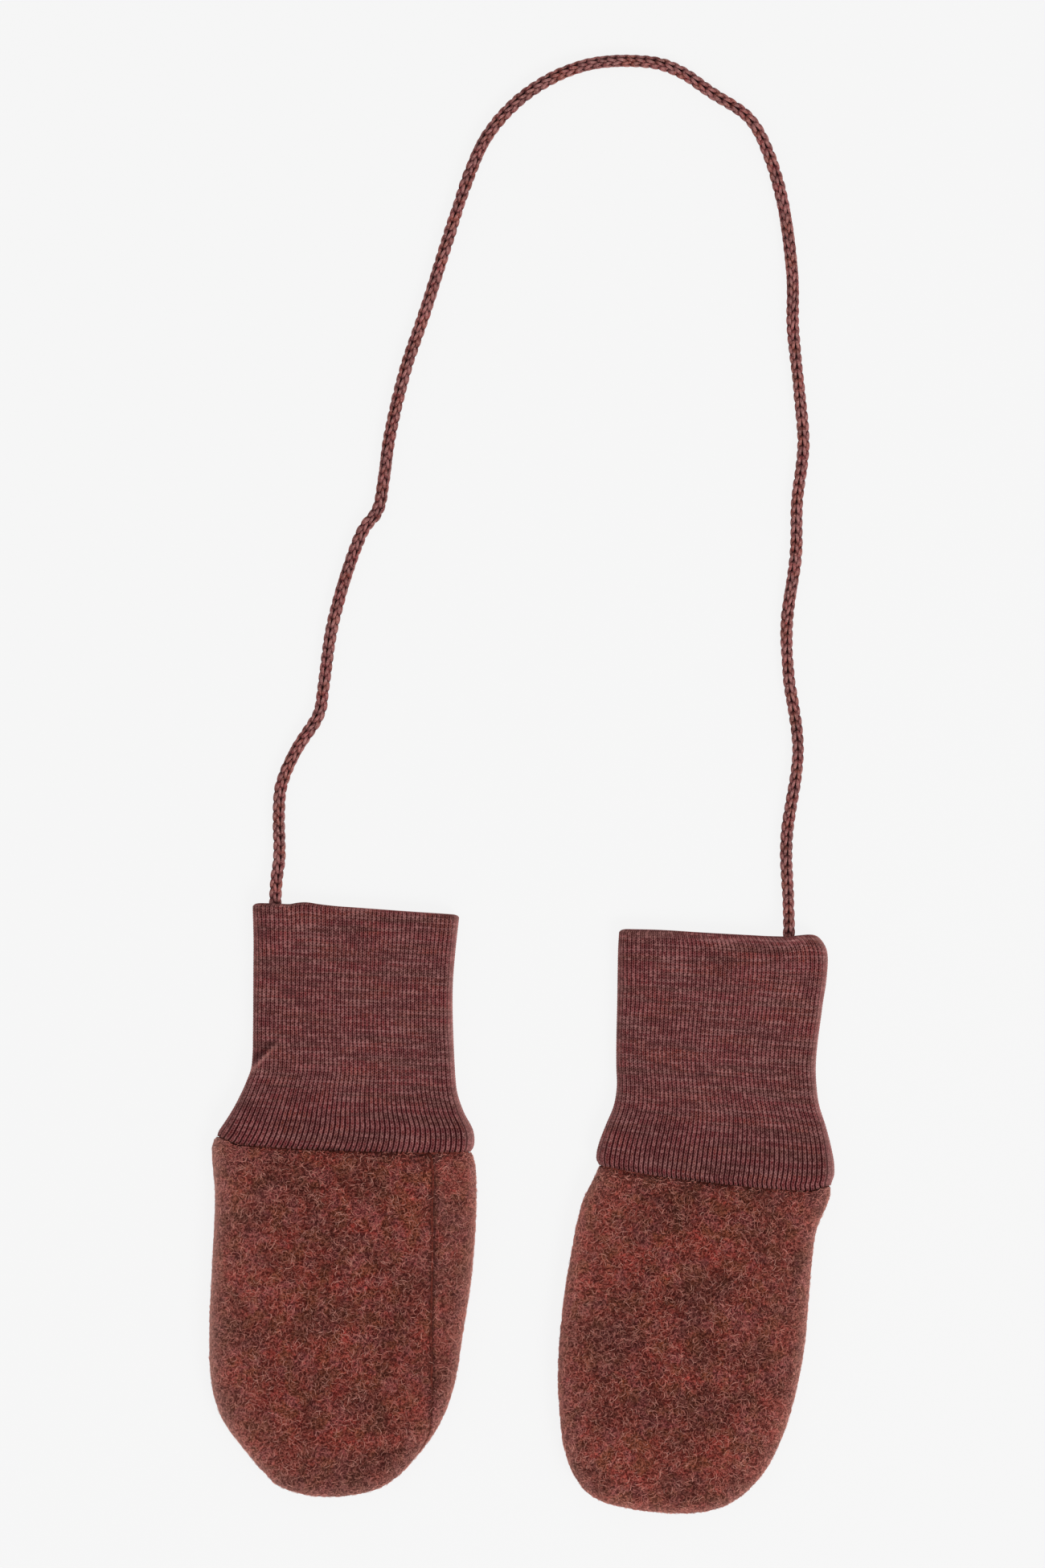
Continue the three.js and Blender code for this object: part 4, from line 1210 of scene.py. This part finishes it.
# Stage: light from all round, one soft lamp, and a floor that glows so that it stays pale under
# the pair. Each lamp: name, place in metres, size, watts.

WORLD_LIGHT = 0.7
FLOOR_GLOW = 0.864
LAMPS = [("key", (1.1, -1.1, 1.6), 0.9, 24.0)]
FLOOR_HALF = 12.0
FLOOR_DROP = 0.0002
FLOOR_GREYS = (0.059, 0.061)


def stage():
    """Camera straight above as the photograph has it, a pale floor, and soft light from all round."""
    scene = bpy.context.scene
    scene.view_settings.view_transform = "Standard"
    data = bpy.data.cameras.new("camera")
    data.sensor_width = SENSOR
    data.lens = SENSOR * CAMERA_HEIGHT / (PHOTO_HEIGHT * PHOTO_MM)
    data.clip_start = 0.1
    data.clip_end = 60
    camera = bpy.data.objects.new("camera", data)
    camera.location = (VIEW_CENTRE[0] * MM, VIEW_CENTRE[1] * MM, CAMERA_HEIGHT * MM)
    scene.collection.objects.link(camera)
    scene.camera = camera

    material, tree = new_material("floor_paper")
    at = put(tree, "ShaderNodeTexCoord").outputs["Object"]
    grain = noise(tree, at, 300.0, 2.0, 0.5)
    colour = mix(tree, grain, *((grey, grey, grey, 1) for grey in FLOOR_GREYS))
    shader = put(
        tree,
        "ShaderNodeBsdfPrincipled",
        {
            "Base Color": colour,
            "Roughness": 1.0,
            "Specular IOR Level": 0.0,
            "Emission Color": (1.0, 1.0, 1.0, 1.0),
            "Emission Strength": FLOOR_GLOW,
        },
    )
    put(tree, "ShaderNodeOutputMaterial", {"Surface": shader.outputs[0]})
    mesh = bpy.data.meshes.new("floor")
    corners = [(FLOOR_HALF * x, FLOOR_HALF * y, 0) for x, y in ((-1, -1), (1, -1), (1, 1), (-1, 1))]
    mesh.from_pydata(corners, [], [(0, 1, 2, 3)])
    mesh.materials.append(material)
    floor = bpy.data.objects.new("floor", mesh)
    scene.collection.objects.link(floor)
    floor.location.z = -FLOOR_DROP

    world = bpy.data.worlds.new("soft_room")
    scene.world = world
    world.use_nodes = True
    world.node_tree.nodes["Background"].inputs[0].default_value = (1, 1, 1, 1)
    world.node_tree.nodes["Background"].inputs[1].default_value = WORLD_LIGHT
    for name, place, size, watts in LAMPS:
        lamp = bpy.data.lights.new(name, "AREA")
        lamp.shape = "SQUARE"
        lamp.size = size
        lamp.energy = watts
        obj = bpy.data.objects.new(name, lamp)
        obj.location = place
        aim = np.array([0.0, 0.1, 0.0]) - np.array(place)
        obj.rotation_mode = "QUATERNION"
        obj.rotation_quaternion = Vector(aim).to_track_quat("-Z", "Y")
        scene.collection.objects.link(obj)


# Assembly

stage()
melange = melange_group()
tufts = tufts_group()
fleece = fleece_material(melange, tufts)
fibres = fibre_material(melange, tufts)
rib_knit = knit_material(melange)
thread_and_shade_wool = thread_and_shade_material()
cord(yarn_material(melange))

for shape, top_curls, under_curls in ((LEFT, 15400, 4300), (RIGHT, 16300, 2500)):
    side_name = shape["name"]
    seam_threads(shape, thread_and_shade_wool)
    cuff_piece = cuff(shape, f"{side_name}_cuff", rib_knit)
    for part_name, on_top, count in (("hand_back", True, top_curls), ("hand_palm", False, under_curls)):
        node = f"{side_name}_{part_name}"
        panel, cloth = hand_panel(shape, node, on_top, fleece)
        curl = curls(f"{node}_fuzz", cloth, count, fibres, SEED + len(bpy.data.objects))
